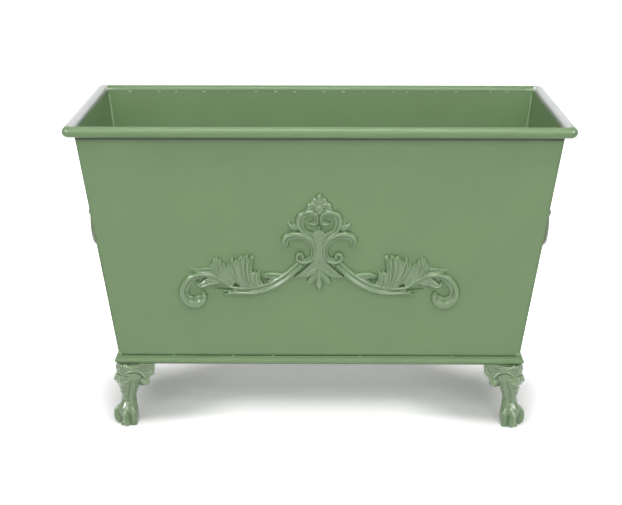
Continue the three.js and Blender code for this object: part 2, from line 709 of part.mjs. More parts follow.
function ornament() {
  const group = new THREE.Group();
  group.position.set(0, -halfDepth(ornamentHeight), ornamentHeight);
  group.rotation.x = Math.PI / 2 + leanAngle;
  group.add(piece('ornament_centre', ornamentCentre(), greenCasting));
  group.add(piece('ornament_left_arm', ornamentArm(1), greenCasting));
  group.add(piece('ornament_right_arm', ornamentArm(-1), greenCasting));
  return group;
}

function handle(side) {
  const sign = side === 'right' ? 1 : -1;
  const mount = new THREE.Group();
  mount.applyMatrix4(wallFrame(sign));
  mount.add(piece(`${side}_handle_plate`, handlePlate(), greenCasting));
  rivetPlaces.forEach(([y, z], i) => {
    const fixing = piece(`${side}_handle_rivet_${i + 1}`, rivet(), greenCasting);
    fixing.position.set(0, y, z);
    mount.add(fixing);
  });
  const swing = piece(`${side}_handle_bail`, bail(), greenCasting);
  swing.position.set(pivotOut, 0, 0).applyMatrix4(wallFrame(sign));
  return new THREE.Group().add(mount, swing);
}

const planter = new THREE.Group();
planter.add(trough(), rim(), feet(), ornament(), handle('left'), handle('right'));

export default planter;
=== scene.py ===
"""Looks for the trough planter: painted sheet metal with cast feet, ornament and handles."""
import itertools
import json
import math

import bpy
import numpy as np
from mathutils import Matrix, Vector


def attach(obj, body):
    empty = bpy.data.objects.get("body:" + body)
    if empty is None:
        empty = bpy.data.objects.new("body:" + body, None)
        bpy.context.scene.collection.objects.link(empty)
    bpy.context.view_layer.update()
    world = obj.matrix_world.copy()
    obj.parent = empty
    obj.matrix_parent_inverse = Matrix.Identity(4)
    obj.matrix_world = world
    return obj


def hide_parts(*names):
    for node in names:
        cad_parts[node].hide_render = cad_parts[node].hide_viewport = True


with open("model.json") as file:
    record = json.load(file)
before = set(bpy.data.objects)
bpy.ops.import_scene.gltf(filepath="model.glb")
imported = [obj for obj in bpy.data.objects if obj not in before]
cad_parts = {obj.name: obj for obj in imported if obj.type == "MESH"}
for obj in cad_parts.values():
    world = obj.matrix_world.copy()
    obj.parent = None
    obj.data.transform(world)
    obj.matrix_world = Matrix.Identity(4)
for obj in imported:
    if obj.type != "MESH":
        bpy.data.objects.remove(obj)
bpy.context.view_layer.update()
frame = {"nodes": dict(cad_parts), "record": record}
nodes = frame["nodes"]
scene = bpy.context.scene
scene.view_settings.view_transform = "Standard"

# ---- colours (linear)

GREEN = (0.176, 0.285, 0.130)
CAST_GREEN = (0.140, 0.242, 0.096)
GREEN_THIN_HIGHLIGHT = (0.270, 0.385, 0.205)      # painted highlight on proud edges, where the paint is also drawn thin
GREEN_DEEP_SHADE = (0.075, 0.130, 0.050)      # painted shade in grooves and hollows, where the paint also pools
WELD_GLINT = (0.560, 0.640, 0.480)            # painted glint on weld metal that stands proud
SEAM_DARK = (0.020, 0.032, 0.015)       # shade in the groove over the moulded band
RAIL_GREY = (0.56, 0.58, 0.57)
ZINC = (0.42, 0.44, 0.43)
RIM_SHADOW_DARK = (0.055, 0.080, 0.042)      # painted shadow of the rim, in the joint under it
RIM_SHADOW_START, RIM_SHADOW_FULL = 0.5033, 0.5053    # heights in metres between which the painted rim shadow sets in
OUTWARD = 0.1                           # least dot product of place and normal on an outer face


# ---- camera

PHOTO_WIDTH = 622
FOCAL_PX = 1389
SENSOR = 36
YAW = math.radians(-0.546)
PITCH = math.radians(17.05)


def aim(obj, direction):
    """Turns a camera or a lamp along a direction and puts it in the scene."""
    obj.rotation_mode = "QUATERNION"
    obj.rotation_quaternion = direction.to_track_quat("-Z", "Y")
    scene.collection.objects.link(obj)


camera_data = bpy.data.cameras.new("camera")
camera_data.sensor_width = SENSOR
camera_data.lens = SENSOR * FOCAL_PX / PHOTO_WIDTH
camera = bpy.data.objects.new("camera", camera_data)
camera.location = (0.0071, -2.2887, 0.9710)
aim(camera, Vector((math.sin(YAW) * math.cos(PITCH), math.cos(YAW) * math.cos(PITCH),
                    -math.sin(PITCH))))
scene.camera = camera


# ---- node helpers

def new_material(name):
    material = bpy.data.materials.new(name)
    material.use_nodes = True
    tree = material.node_tree
    return material, tree, tree.nodes["Principled BSDF"]


def feed(tree, node, inputs):
    """Gives each input its value, or links it to an output."""
    for name, value in inputs.items():
        if isinstance(value, bpy.types.NodeSocket):
            tree.links.new(value, node.inputs[name])
        else:
            node.inputs[name].default_value = value


def add_node(tree, kind, inputs=None, **settings):
    node = tree.nodes.new("ShaderNode" + kind)
    for name, value in settings.items():
        setattr(node, name, value)
    feed(tree, node, inputs or {})
    return node


def maths(tree, operation, *values):
    return add_node(tree, "Math", dict(enumerate(values)), operation=operation).outputs[0]


def map_range(tree, value, low=0.0, high=1.0, start=0.0, stop=1.0, kind="LINEAR"):
    """Takes the values from low to high to those from start to stop."""
    return add_node(tree, "MapRange", {"Value": value, "From Min": low, "From Max": high,
                                       "To Min": start, "To Max": stop},
                    interpolation_type=kind).outputs["Result"]


def position(tree):
    """Outputs of the coordinates, and X, Y and Z of the place on the object."""
    place = add_node(tree, "TexCoord")
    split = add_node(tree, "SeparateXYZ", {"Vector": place.outputs["Object"]})
    return place.outputs, split.outputs


def noise(tree, scale, detail=2.0, roughness=0.5):
    place = add_node(tree, "TexCoord")
    return add_node(tree, "TexNoise", {
        "Vector": place.outputs["Object"], "Scale": scale, "Detail": detail,
        "Roughness": roughness}).outputs["Fac"]


def ramp(tree, value, stops):
    node = add_node(tree, "ValToRGB", {"Fac": value})
    elements = node.color_ramp.elements
    for element, (place, colour) in zip(elements, stops):
        element.position = place
        element.color = (*colour, 1)
    for place, colour in stops[2:]:
        elements.new(place).color = (*colour, 1)
    return node.outputs["Color"]


def clouded(tree, colour, noise_fac, low, high):
    """A colour that drifts between two strengths of itself."""
    (start, weak), (stop, strong) = low, high
    return ramp(tree, noise_fac, [(start, [channel * weak for channel in colour]),
                                  (stop, [channel * strong for channel in colour])])


def mixed(tree, share, first, second):
    return add_node(tree, "Mix", {"Factor": share, "A": first, "B": second},
                    data_type="RGBA").outputs["Result"]


def seen_or_mirrored(tree):
    path = add_node(tree, "LightPath").outputs
    return maths(tree, "MAXIMUM", path["Is Camera Ray"], path["Is Glossy Ray"])


# ---- paints

TINT_SHARE = 0.75                       # how far the painted shade and highlight of the relief tones take over from the cloudiness
PEEL_SCALE, PEEL_HEIGHT = 420.0, 0.0004
SHEET = (GREEN, 0.34, 0.10, 0.05)       # colour, roughness, orange peel, gloss


def under_rim(tree, colour):
    """Paints the rim's shadow as a dark band on the outer face of a wall, in the joint under the rim."""
    place, split = position(tree)
    band = map_range(tree, split["Z"], RIM_SHADOW_START, RIM_SHADOW_FULL)
    facing = add_node(tree, "VectorMath", {0: place["Normal"], 1: place["Object"]},
                      operation="DOT_PRODUCT")
    outer = maths(tree, "GREATER_THAN", facing.outputs["Value"], OUTWARD)
    return mixed(tree, maths(tree, "MULTIPLY", band, outer), colour, (*RIM_SHADOW_DARK, 1))


def paint(name, colour, roughness, peel, gloss, tones=None, rim_shadow=False):
    """Gloss paint: faint cloudiness and orange peel. With tones, the relief attribute of a piece leads
    from its deep tone, a painted shade, over its own colour to its thin one, a painted highlight."""
    material, tree, shader = new_material(name)
    out = clouded(tree, colour, noise(tree, 9.0, 4.0, 0.6), (0.30, 0.965), (0.70, 1.03))
    if tones:
        relief = add_node(tree, "Attribute", attribute_name="relief").outputs["Fac"]
        tint = ramp(tree, relief, [(0.05, tones[0]), (0.40, colour), (0.66, colour),
                                   (0.94, tones[1])])
        out = mixed(tree, TINT_SHARE, out, tint)
    if rim_shadow:
        out = under_rim(tree, out)
    spread = 0.008 + 0.3 * peel
    bump = add_node(tree, "Bump", {"Strength": peel, "Distance": PEEL_HEIGHT,
                                   "Height": noise(tree, PEEL_SCALE)})
    feed(tree, shader, {
        "Base Color": out, "Normal": bump.outputs["Normal"],
        "Roughness": map_range(tree, noise(tree, 60.0, 3.0), start=roughness - spread,
                               stop=roughness + spread),
        "Specular IOR Level": 0.35, "Coat Weight": gloss, "Coat Roughness": 0.06})
    return material


sheet_paint = paint("green_sheet_paint", *SHEET)
casting_paint = paint("green_casting_paint", CAST_GREEN, 0.24, 0.08, 1.0,
                      (GREEN_DEEP_SHADE, GREEN_THIN_HIGHLIGHT))
# wall paint with the painted shadow under the rim
wall_paint = paint("green_wall_paint", *SHEET, rim_shadow=True)
# seam paint: painted shade in the moulding's groove and under its nose, painted glint on the weld specks
# of the back rim
seam_shade_paint = paint("green_seam_shade_and_glint_paint", GREEN, 0.34, 0.0, 0.05, (SEAM_DARK, WELD_GLINT))
rail_paint = paint("grey_rail_paint", RAIL_GREY, 0.25, 0.06, 0.3)
zinc, zinc_tree, zinc_shader = new_material("zinc_plate")
feed(zinc_tree, zinc_shader, {
    "Metallic": 1.0,
    "Base Color": clouded(zinc_tree, ZINC, noise(zinc_tree, 150.0, 3.0), (0.35, 0.85), (0.65, 1.1)),
    "Roughness": map_range(zinc_tree, noise(zinc_tree, 300.0), start=0.3, stop=0.45)})

SLOT_PAINT = {"green_sheet": sheet_paint, "green_casting": casting_paint,
              "grey_rim": rail_paint, "zinc_fastener": zinc}
node_slot = {row["node"]: row["material_slot"] for row in frame["record"]["subparts"]}
for name, obj in nodes.items():
    look = wall_paint if name.endswith("_panel") else SLOT_PAINT[node_slot[name]]
    obj.data.materials.clear()
    obj.data.materials.append(look)


# ---- ornament: relief over a grid on the front wall, in millimetres from its waist

GRID = 0.6       # between the points of the grid
SUNK = -1.2      # the back of a casting, inside the sheet
EDGE = 0.9       # height of a casting at its outline
SLOPE = 4        # how steeply it drops beyond its outline
BURIED = -40.0   # the grid before anything is drawn
FAR = 1e9
TINY = 1e-9


def smooth_path(knots, per=10):
    """Centripetal Catmull-Rom curve through [x, y, half width] knots."""
    p = np.array(knots, float)
    p = np.vstack([2 * p[0] - p[1], p, 2 * p[-1] - p[-2]])
    out = []

    def between(t, t0, t1, a, b):
        return (t1 - t) / (t1 - t0) * a + (t - t0) / (t1 - t0) * b
    for i in range(1, len(p) - 2):
        p0, p1, p2, p3 = p[i - 1:i + 3]
        gaps = [max(np.linalg.norm(b - a) ** 0.5, 1e-6)
                for a, b in ((p0, p1), (p1, p2), (p2, p3))]
        t0, t1, t2, t3 = np.cumsum([0, *gaps])
        t = np.linspace(t1, t2, per, endpoint=False)[:, None]
        a2 = between(t, t1, t2, p1, p2)
        b1 = between(t, t0, t2, between(t, t0, t1, p0, p1), a2)
        b2 = between(t, t1, t3, a2, between(t, t2, t3, p2, p3))
        out.append(between(t, t1, t2, b1, b2))
    out = np.vstack([*out, p[-2]])
    out[:, 2] = np.maximum(out[:, 2], 0.3)
    return out


def half_round(v):
    return np.sqrt(np.clip(1 - v * v, 0, 1))


def dent(v, at, width):
    return np.exp(-((v - at) / width) ** 2)


# Height across a stroke: v runs from -1 to 1, its left edge to its right.
PROFILES = {
    "roll": half_round,
    "scroll": lambda v: np.maximum(
        half_round((v - 0.30) / 0.70),
        0.50 * np.clip(1.6 * half_round((v + 0.62) / 0.38), 0, 1)
        * (1 - 0.25 * dent(v, -0.42, 0.08))),
    "leaf": lambda v: half_round(v) ** 0.8 * (1 - 0.38 * dent(v, 0, 0.17)),
    "ridge": lambda v: 0.35 * half_round(v) + 0.65 * (1 - np.abs(v)) ** 0.9,
    "hollow": lambda v: half_round(v) ** 0.5 * (0.62 + 0.38 * np.abs(v) ** 1.5),
    "flat": lambda v: np.clip(half_round(v) * 1.5, 0, 1),
}


def window(axes, low, high):
    """The part of a grid between two corners."""
    return tuple(slice(*np.searchsorted(*ends)) for ends in zip(axes, zip(low, high)))


def share_along(gaps, d):
    """How far along a segment the place nearest to each point lies, from 0 to 1."""
    return np.clip(sum(g * e for g, e in zip(gaps, d)) / max(d @ d, TINY), 0, 1)


def raised(u, half, height):
    """A form of some height over EDGE, and the drop beyond its outline."""
    return np.where(u < 1, EDGE + height, EDGE - (u - 1) * half * SLOPE)


class Relief:
    """Heights over a rectangle of the wall."""

    def __init__(self, x0, x1, y0, y1):
        self.x = np.arange(x0, x1 + GRID / 2, GRID)
        self.y = np.arange(y0, y1 + GRID / 2, GRID)
        self.h = np.full((len(self.y), len(self.x)), BURIED)

    def nearest(self, path, margin):
        """The part of the grid round a path, and for its points the distance in half
        widths, the half width, the side of the path and the place along it."""
        low = (path[:, :2] - path[:, 2:]).min(0) - margin
        high = (path[:, :2] + path[:, 2:]).max(0) + margin
        part = window((self.y, self.x), low[::-1], high[::-1])
        px, py = np.meshgrid(self.x[part[1]], self.y[part[0]])
        found = [np.full(px.shape, FAR), np.ones(px.shape), np.zeros(px.shape),
                 np.zeros(px.shape)]
        for i, (a, b) in enumerate(zip(path[:-1], path[1:])):
            d = b[:2] - a[:2]
            gaps = (px - a[0], py - a[1])
            t = share_along(gaps, d)
            width = a[2] + (b[2] - a[2]) * t
            ex, ey = gaps[0] - d[0] * t, gaps[1] - d[1] * t
            u = np.hypot(ex, ey) / width
            here = (u, width, np.sign(d[0] * ey - d[1] * ex), (i + t) / (len(path) - 1))
            closer = u < found[0]
            found = [np.where(closer, new, old) for new, old in zip(here, found)]
        return part, *found

    def add(self, kind, relief, knots, flip=1):
        """Raises a stroke; flip says which side of it carries the lip."""
        part, u, half, side, _ = self.nearest(smooth_path(knots), 3)
        full = np.clip(0.4 + half / 6, 0, 1)
        inside = PROFILES[kind](np.clip(u, 0, 1) * np.where(side == 0, 1, side) * flip)
        self.h[part] = np.maximum(self.h[part],
                                  raised(u, half, (relief - EDGE) * full * inside))

    def carve(self, depth, width, knots):
        """Cuts a groove along a line, where there is a casting."""
        path = smooth_path([(x, y, 1) for x, y in knots])
        part, u, _, _, along = self.nearest(path, 3 * width)
        ends = np.clip(np.minimum(along, 1 - along) * 8, 0.25, 1)
        self.h[part] -= depth * ends * np.exp(-(u / width) ** 2)

    def bead(self, x, y, radius, relief):
        px, py = np.meshgrid(self.x, self.y)
        u = np.hypot(px - x, py - y) / radius
        self.h = np.maximum(self.h, raised(u, radius, (relief - EDGE) * half_round(u)))

    def soften(self):
        h = np.pad(np.maximum(self.h, SUNK - 2), 1, mode="edge")
        h = (h[:-2] + 2 * h[1:-1] + h[2:]) / 4
        self.h = np.maximum((h[:, :-2] + 2 * h[:, 1:-1] + h[:, 2:]) / 4, SUNK)


# ---- ornament: strokes, read off the photograph

# Strokes: kind, height and [x, y, half width] knots; a last -1 turns a scroll's lip to its
# other side. Beads: x, y, radius and height. Grooves: depth, width and [x, y] knots.
CENTRE_PAIRED = [
    # heart scroll, the cavity's lip on its inner side
    ("scroll", 8.6, [(-17.2, 35.9, 1), (-11.5, 34, 2.6), (-5.6, 36.4, 4.2), (-3.9, 42.5, 4.4),
        (-5.6, 49, 4.8), (-12.5, 52.6, 5.4), (-21.5, 52, 6), (-28.9, 46.9, 6.9), (-31.4, 38.6, 7.2),
        (-30.2, 29.4, 6.6), (-25.6, 21.2, 5.4), (-18.6, 14.4, 4.4), (-11.5, 8, 3.8), (-6, -1, 3.2)], -1),
    ("roll", 7, [(-4.5, 66.5, 3.6), (-10.5, 67, 5), (-15.2, 64.2, 5.6), (-17.2, 59.8, 4)]),
    ("roll", 5.2, [(-32, 24.6, 3), (-39, 25.4, 4.6), (-45, 28.2, 4.6), (-48.4, 32.8, 2.8),
        (-49.8, 37.6, 0.7)]),
    ("ridge", 7.4, [(-33, 27, 3), (-37.6, 29.6, 3.2), (-40.8, 33.8, 1)]),
    ("leaf", 6.5, [(-3, 8, 3.8), (-8.5, 13.4, 4.2), (-14, 17, 3.2), (-19, 21, 0.8)]),
    ("ridge", 6.5, [(-2.4, 11, 3), (-4.4, 16.4, 2.4), (-7.2, 20.6, 0.7)]),
    # C scroll
    ("scroll", 8.8, [(-49, -7.6, 0.9), (-53.6, -3, 4.4), (-55.4, 4, 6.6), (-51.4, 10.2, 7),
        (-44.4, 13.4, 7), (-35.6, 13.8, 6.8), (-26.2, 11.8, 6.2), (-17.4, 5.8, 5.4), (-11.4, -2.8, 4.8),
        (-9.4, -12.6, 4.6), (-10.8, -22.2, 4.8), (-16.2, -29.6, 5.2), (-24.4, -32, 5.4),
        (-32, -29.6, 5.6), (-34.8, -24.2, 5.2), (-32.2, -19.8, 4.4), (-27.6, -20.2, 3.4)]),
    # lower leaf
    ("flat", 4.6, [(-1, -29, 6.4), (-8.4, -41, 8.6), (-18.4, -50.6, 8.2), (-29, -56.8, 5.2),
        (-39.8, -59.8, 0.8)]),
    ("roll", 6.8, [(-1.2, -42, 2), (-7.2, -50.4, 2.4), (-15.6, -56.6, 2.6), (-26, -59.4, 2.2),
        (-39, -60.2, 0.7)]),
    ("ridge", 6.2, [(-3, -33, 2.4), (-12, -43, 2.8), (-22.6, -51.6, 2.6), (-36, -58.4, 0.8)]),
    # side petal of the fleur
    ("roll", 5.8, [(-1, -48, 3.4), (-5.8, -58, 5), (-11.4, -65.4, 6.2), (-15.4, -68.4, 4.8)]),
    ("ridge", 7.4, [(-5, -55, 1.6), (-11, -62, 2.6), (-16.6, -66.4, 2.6)]),
]
CENTRE_MIDDLE = [
    ("flat", 5.6, [(0, 52, 7), (0, 59, 15), (0, 66, 15), (0, 72, 8)]),
    ("roll", 8.4, [(0, 64, 7.6), (0, 70.5, 9.3), (0, 75.6, 8), (0, 80.6, 4.8), (0, 84.6, 1.2)]),
    ("roll", 9.5, [(0, 50, 1.4), (0, 54.6, 4.4), (0, 59.6, 7.4), (0, 64, 5)]),
    ("ridge", 7, [(0, 30.4, 0.6), (0, 25.4, 2.8), (0, 20.6, 3.4), (0, 13, 4.4), (0, 6, 4)]),
    ("flat", 5.4, [(0, 20, 3.4), (0, 12, 11), (0, 2, 9.4), (0, -10, 6.4), (0, -20, 8), (0, -29, 11),
        (0, -37, 8.6), (0, -42, 2)]),
    ("ridge", 6.4, [(0, -41, 2), (0, -50, 3.6), (0, -60, 4)]),
    ("roll", 8.4, [(0, -56.6, 0.8), (0, -63, 3.4), (0, -70, 6.2), (0, -76, 6.2), (0, -81.4, 4.6),
        (0, -83.8, 1.6)]),
]
CENTRE_BEADS = [
    (0, 62.6, 3.4, 11.5), (-5.6, 59.6, 3.4, 11.2), (5.6, 59.6, 3.4, 11.2), (0, -32.6, 2.8, 9.2),
    (0, -76.6, 3.6, 10.6), (-27, -23.4, 3.8, 10), (27, -23.4, 3.8, 10),
]
CENTRE_GROOVES_PAIRED = [
    (1.5, 0.9, [(-1.2, -36), (-10, -44.6), (-20.4, -51.6), (-33, -57.4)]),
    (1.2, 0.8, [(-2, -44), (-7.2, -55.6), (-12, -63.6), (-15.8, -67.6)]),
    (1.6, 0.9, [(-3.4, -57.4), (-6.4, -64), (-8.6, -70.6)]),
    (1, 0.8, [(-4, 66.6), (-8.6, 62.6), (-10.4, 58.4)]),
]
CENTRE_GROOVES_MIDDLE = [
    (1.6, 1, [(-8.6, 69.4), (0, 66.4), (8.6, 69.4)]),
    (1.4, 0.8, [(0, 56), (0, 51)]),
    (1.5, 0.8, [(0, 51), (0, 44), (0, 36.4)]),
]
ARM = [
    # lower roll and its two spurs
    ("roll", 9, [(-29.8, -38.8, 3.8), (-46.4, -57.6, 4.1), (-62.4, -70.8, 4.2), (-80.9, -80.8, 4.2),
        (-100.6, -86.8, 4.1), (-118.6, -88.4, 3.9), (-134, -87.6, 3.4), (-145, -88.6, 2.4),
        (-155.8, -91.9, 0.7)]),
    ("ridge", 5.6, [(-134, -86, 3.4), (-147, -85.8, 2.9), (-158, -83.8, 2), (-170.6, -82, 0.6)]),
    # upper roll out to the end scroll
    ("roll", 8, [(-34.6, -34.8, 3.2), (-52.6, -52.2, 3.5), (-70.6, -65.4, 3.6), (-90.4, -74.6, 3.6),
        (-112, -79.4, 3.5), (-130, -80, 3.4), (-143, -77.6, 3.2), (-154, -70.4, 3.1), (-165, -62.4, 3)]),
    ("scroll", 9, [(-148, -73.6, 2.8), (-158.4, -66, 3.8), (-171.6, -59.4, 4.4), (-185.6, -56.6, 4.9),
        (-199.4, -58.4, 6), (-211, -65.6, 7.4), (-218.6, -77, 8.2), (-221.2, -89.6, 8.2),
        (-217, -100.4, 9.4), (-209.4, -105.6, 10.8), (-200.4, -106, 11), (-192.8, -101.4, 9.4),
        (-189.4, -95.6, 7), (-188.8, -90.6, 4.2)], -1),
    # leaf along the top of the end scroll
    ("hollow", 5.6, [(-166, -50, 4.4), (-178, -48.6, 5), (-191, -48.2, 4), (-201.4, -49.2, 2.6),
        (-209.2, -45.4, 0.6)]),
    # upright leaf
    ("leaf", 5.8, [(-151, -72, 2.6), (-162, -61, 4.4), (-170.6, -51, 5.2), (-175, -42, 3.6),
        (-174.6, -33.6, 0.9)]),
    ("leaf", 7.4, [(-150, -72, 2.6), (-159, -60, 4.8), (-166.4, -48, 5.4), (-170, -37, 4.6),
        (-170.6, -27.4, 1.6)]),
    ("leaf", 8.4, [(-149, -72, 2.6), (-156.6, -60, 4.8), (-162, -48, 5.6), (-165.2, -36, 4.8),
        (-166, -25.6, 1.6)]),
    ("leaf", 7.8, [(-148.6, -72, 2.6), (-154.6, -60, 4.8), (-157.8, -48, 5.2), (-159.6, -38, 4.4),
        (-160.6, -28.6, 1.4)]),
    ("leaf", 6.4, [(-148, -70, 2.4), (-152.4, -58, 4.2), (-153.6, -48, 4.2), (-154.2, -37, 1.2)]),
    # small leaf between the upright leaf and the acanthus
    ("leaf", 7.2, [(-142, -75, 2.8), (-147.6, -64.6, 5.2), (-150.4, -55.6, 4), (-151.4, -49.4, 0.8)]),
    ("leaf", 6.4, [(-139.6, -72.6, 2.6), (-143, -64, 4.4), (-144.6, -54.6, 1)]),
    # leaf on the stem
    ("leaf", 6.6, [(-93, -57, 0.7), (-85, -57.4, 4.4), (-76, -58.4, 6.4), (-66, -59, 6),
        (-56.6, -56, 3.2), (-50, -51, 1.4)]),
    ("ridge", 7, [(-84, -66, 1), (-74, -66.6, 3.2), (-62, -63.6, 2.6)]),
    ("ridge", 5.6, [(-92, -64.6, 0.6), (-84, -70.6, 2.2), (-76, -72, 2)]),
    # leaf under the end scroll
    ("leaf", 7, [(-151.6, -69.6, 2.6), (-162, -68, 4), (-173, -68.4, 5.4), (-184, -72, 6.6),
        (-192.6, -75.8, 5.4), (-197.4, -73, 3.2), (-198.4, -67.4, 1)]),
    ("ridge", 6.6, [(-160, -69.6, 2.8), (-170, -73.6, 3.4), (-176.6, -77.6, 0.8)]),
    ("ridge", 6.4, [(-168, -62.6, 2.6), (-180, -64, 3.4), (-190, -67.6, 1)]),
    # body of the acanthus leaves, under their lobes
    ("flat", 7, [(-113, -74, 5), (-120, -62, 14), (-124, -46, 14), (-124, -36, 8)]),
    ("flat", 5.2, [(-98, -76, 4), (-102, -66, 7), (-103, -57, 5)]),
    # web between the two rolls
    ("flat", 6, [(-33, -38, 3), (-49.5, -55, 4), (-66.5, -68, 4), (-85.6, -77.6, 4), (-106, -83, 4),
        (-124, -84, 4), (-138, -82.4, 3)]),
    # large acanthus leaf, lobes from the end scroll inward
    ("leaf", 6.6, [(-124, -77, 2.6), (-136, -66, 4.8), (-143.8, -54, 5.4), (-147.4, -43, 3.6),
        (-147.4, -34.6, 0.9)]),
    ("leaf", 8.4, [(-121, -77, 2.6), (-131.6, -62.6, 5.6), (-138.2, -46.6, 6.2), (-140.8, -34, 4.2),
        (-140.6, -25, 1)]),
    ("leaf", 7.6, [(-119, -77, 2.8), (-127.6, -62, 5.4), (-132.2, -46, 6), (-133.8, -35.6, 4.4),
        (-133.4, -30.4, 1.6)]),
    ("leaf", 9.2, [(-116, -77, 3), (-123.4, -60, 5.8), (-127.2, -42, 6.8), (-127.2, -30, 5.8),
        (-125.6, -24.6, 2.6)]),
    ("leaf", 9.8, [(-112.6, -78, 3), (-117.6, -61, 5.8), (-119.8, -43, 6.6), (-118.6, -29, 5.6),
        (-117.4, -23, 2.8)]),
    ("leaf", 9.2, [(-109, -78, 3), (-112.6, -62, 5.4), (-113.6, -46, 6), (-111.6, -33, 5),
        (-108.6, -25, 3.4), (-106.4, -22.4, 1.4)]),
    ("ridge", 8.6, [(-110, -60, 2.2), (-111.6, -50, 3), (-109, -40, 2.8), (-107, -31, 1)]),
    # small acanthus leaf
    ("leaf", 7.6, [(-103, -79, 2.8), (-108, -69, 4.6), (-110.4, -58, 4.6), (-109.4, -50, 2.6),
        (-108.4, -45.6, 0.8)]),
    ("leaf", 8, [(-99.6, -79.6, 2.8), (-103.6, -68, 4.8), (-104.6, -57, 4.2), (-103.4, -49, 1)]),
    ("leaf", 7.6, [(-96, -79, 2.6), (-98.6, -68, 4.6), (-98.4, -57, 4.2), (-96.6, -46, 0.9)]),
    ("leaf", 6.4, [(-91, -77.6, 2.6), (-94.6, -71, 4), (-96.4, -64, 1)]),
]
ARM_BEADS = [
    (-188.8, -93, 4.6, 10.6), (-215.6, -100.6, 2.6, 10.2), (-204.6, -98.6, 2.6, 8.6),
    (-199.6, -105.4, 2.4, 10.4), (-213.4, -90, 2.2, 9),
]
ARM_GROOVES = [
    (1.4, 0.8, [(-97, -80.4), (-118, -84.2), (-138, -83)]),
    (1.1, 0.7, [(-206, -47), (-190, -49), (-172, -50.4)]),
    (1.2, 0.7, [(-64, -57.6), (-76, -57.4), (-89, -57)]),
]


# ---- ornament: pieces

ORNAMENT_ORIGIN = np.array([0.0, -149.3875, 332.0])
LEAN = math.radians(7.125)
WALL_UP = np.array([0.0, -math.sin(LEAN), math.cos(LEAN)])
WALL_OUT = np.array([0.0, -math.cos(LEAN), -math.sin(LEAN)])
RELIEF_BLUR, RELIEF_SCALE = 6, 3.0
BACK_DEPTH = 0.1                # of the casting's back, under its rim


def add_object(name, places, faces, material, body="root", replaces=()):
    """A piece from places in millimetres."""
    mesh = bpy.data.meshes.new(name)
    mesh.from_pydata((np.asarray(places) / 1000).tolist(), [],
                     [list(map(int, face)) for face in faces])
    mesh.materials.append(material)
    mesh.shade_smooth()
    obj = bpy.data.objects.new(name, mesh)
    scene.collection.objects.link(obj)
    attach(obj, body)
    if replaces:
        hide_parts(*replaces)
    return obj


def set_relief(obj, values):
    """Stores how deep or proud each vertex lies, from 0 to 1, for the paint, which shows low values as
    painted shade and high ones as painted highlight.
    """
    layer = obj.data.attributes.new("relief", "FLOAT", "POINT")
    layer.data.foreach_set("value", np.asarray(values, dtype=np.float32))


def blurred(h, passes):
    for _ in range(passes):
        p = np.pad(h, 1, mode="edge")
        h = (p[:-2, 1:-1] + p[2:, 1:-1] + p[1:-1, :-2] + p[1:-1, 2:] + 4 * h) / 8
    return h


def relief_object(name, relief, node, mirror=False):
    """Closes a relief with a back inside the sheet, and lays it on the front wall."""
    h = relief.h
    grown = h > SUNK + 1e-3
    inside = grown.copy()
    for rows, cols in itertools.product((-1, 0, 1), repeat=2):
        grown |= np.roll(inside, (rows, cols), (0, 1))
    cell = grown[:-1, :-1] & grown[1:, :-1] & grown[:-1, 1:] & grown[1:, 1:]
    around = np.zeros(h.shape, int)
    for rows, cols in itertools.product((slice(0, -1), slice(1, None)), repeat=2):
        around[rows, cols] += cell
    used, inner = around > 0, around == 4
    top = np.full(h.shape, -1)
    top[used] = np.arange(used.sum())
    back = top.copy()
    back[inner] = used.sum() + np.arange(inner.sum())
    x, y = np.meshgrid(-relief.x if mirror else relief.x, relief.y)
    local = np.vstack([np.stack([x, y, np.where(inner, h, SUNK)], -1)[used],
                       np.stack([x, y, np.full(h.shape, SUNK - BACK_DEPTH)], -1)[inner]])
    places = (ORNAMENT_ORIGIN + local[:, :1] * np.array([1.0, 0, 0])
              + local[:, 1:2] * WALL_UP + local[:, 2:] * WALL_OUT)
    r, c = np.nonzero(cell)
    faces = np.vstack([np.stack([top[r, c], top[r, c + 1], top[r + 1, c + 1], top[r + 1, c]], 1),
                       np.stack([back[r, c], back[r + 1, c], back[r + 1, c + 1],
                                 back[r, c + 1]], 1)])
    if mirror:
        faces = faces[:, ::-1]
    obj = add_object(name, places, faces, casting_paint, replaces=(node,))
    # tones for the paint: painted shade where the relief dips below its blurred self, painted highlight
    # where it stands proud
    proud = h - blurred(np.maximum(h, -0.5), RELIEF_BLUR)
    carved = 0.5 + np.clip(proud / RELIEF_SCALE, -0.5, 0.5)
    set_relief(obj, np.concatenate([carved[used], carved[inner]]))


def mirrored(knots):
    return [(-x, *rest) for x, *rest in knots]


def ornament():
    centre = Relief(-66, 66, -88, 90)
    for kind, height, knots, *lip in CENTRE_PAIRED:
        flip = lip[0] if lip else 1
        centre.add(kind, height, knots, flip)
        centre.add(kind, height, mirrored(knots), -flip)
    for stroke in CENTRE_MIDDLE:
        centre.add(*stroke)
    for bead in CENTRE_BEADS:
        centre.bead(*bead)
    for depth, width, knots in CENTRE_GROOVES_PAIRED:
        centre.carve(depth, width, knots)
        centre.carve(depth, width, mirrored(knots))
    for groove in CENTRE_GROOVES_MIDDLE:
        centre.carve(*groove)
    centre.soften()
    relief_object("ornament_heart", centre, "ornament_centre")
    arm = Relief(-234, -26, -122, -16)
    for stroke in ARM:
        arm.add(*stroke)
    for bead in ARM_BEADS:
        arm.bead(*bead)
    for groove in ARM_GROOVES:
        arm.carve(*groove)
    arm.soften()
    relief_object("ornament_scroll_left", arm, "ornament_left_arm")
    relief_object("ornament_scroll_right", arm, "ornament_right_arm", mirror=True)


ornament()


# ---- feet: signed distances on a grid, negative inside, in millimetres from the corner

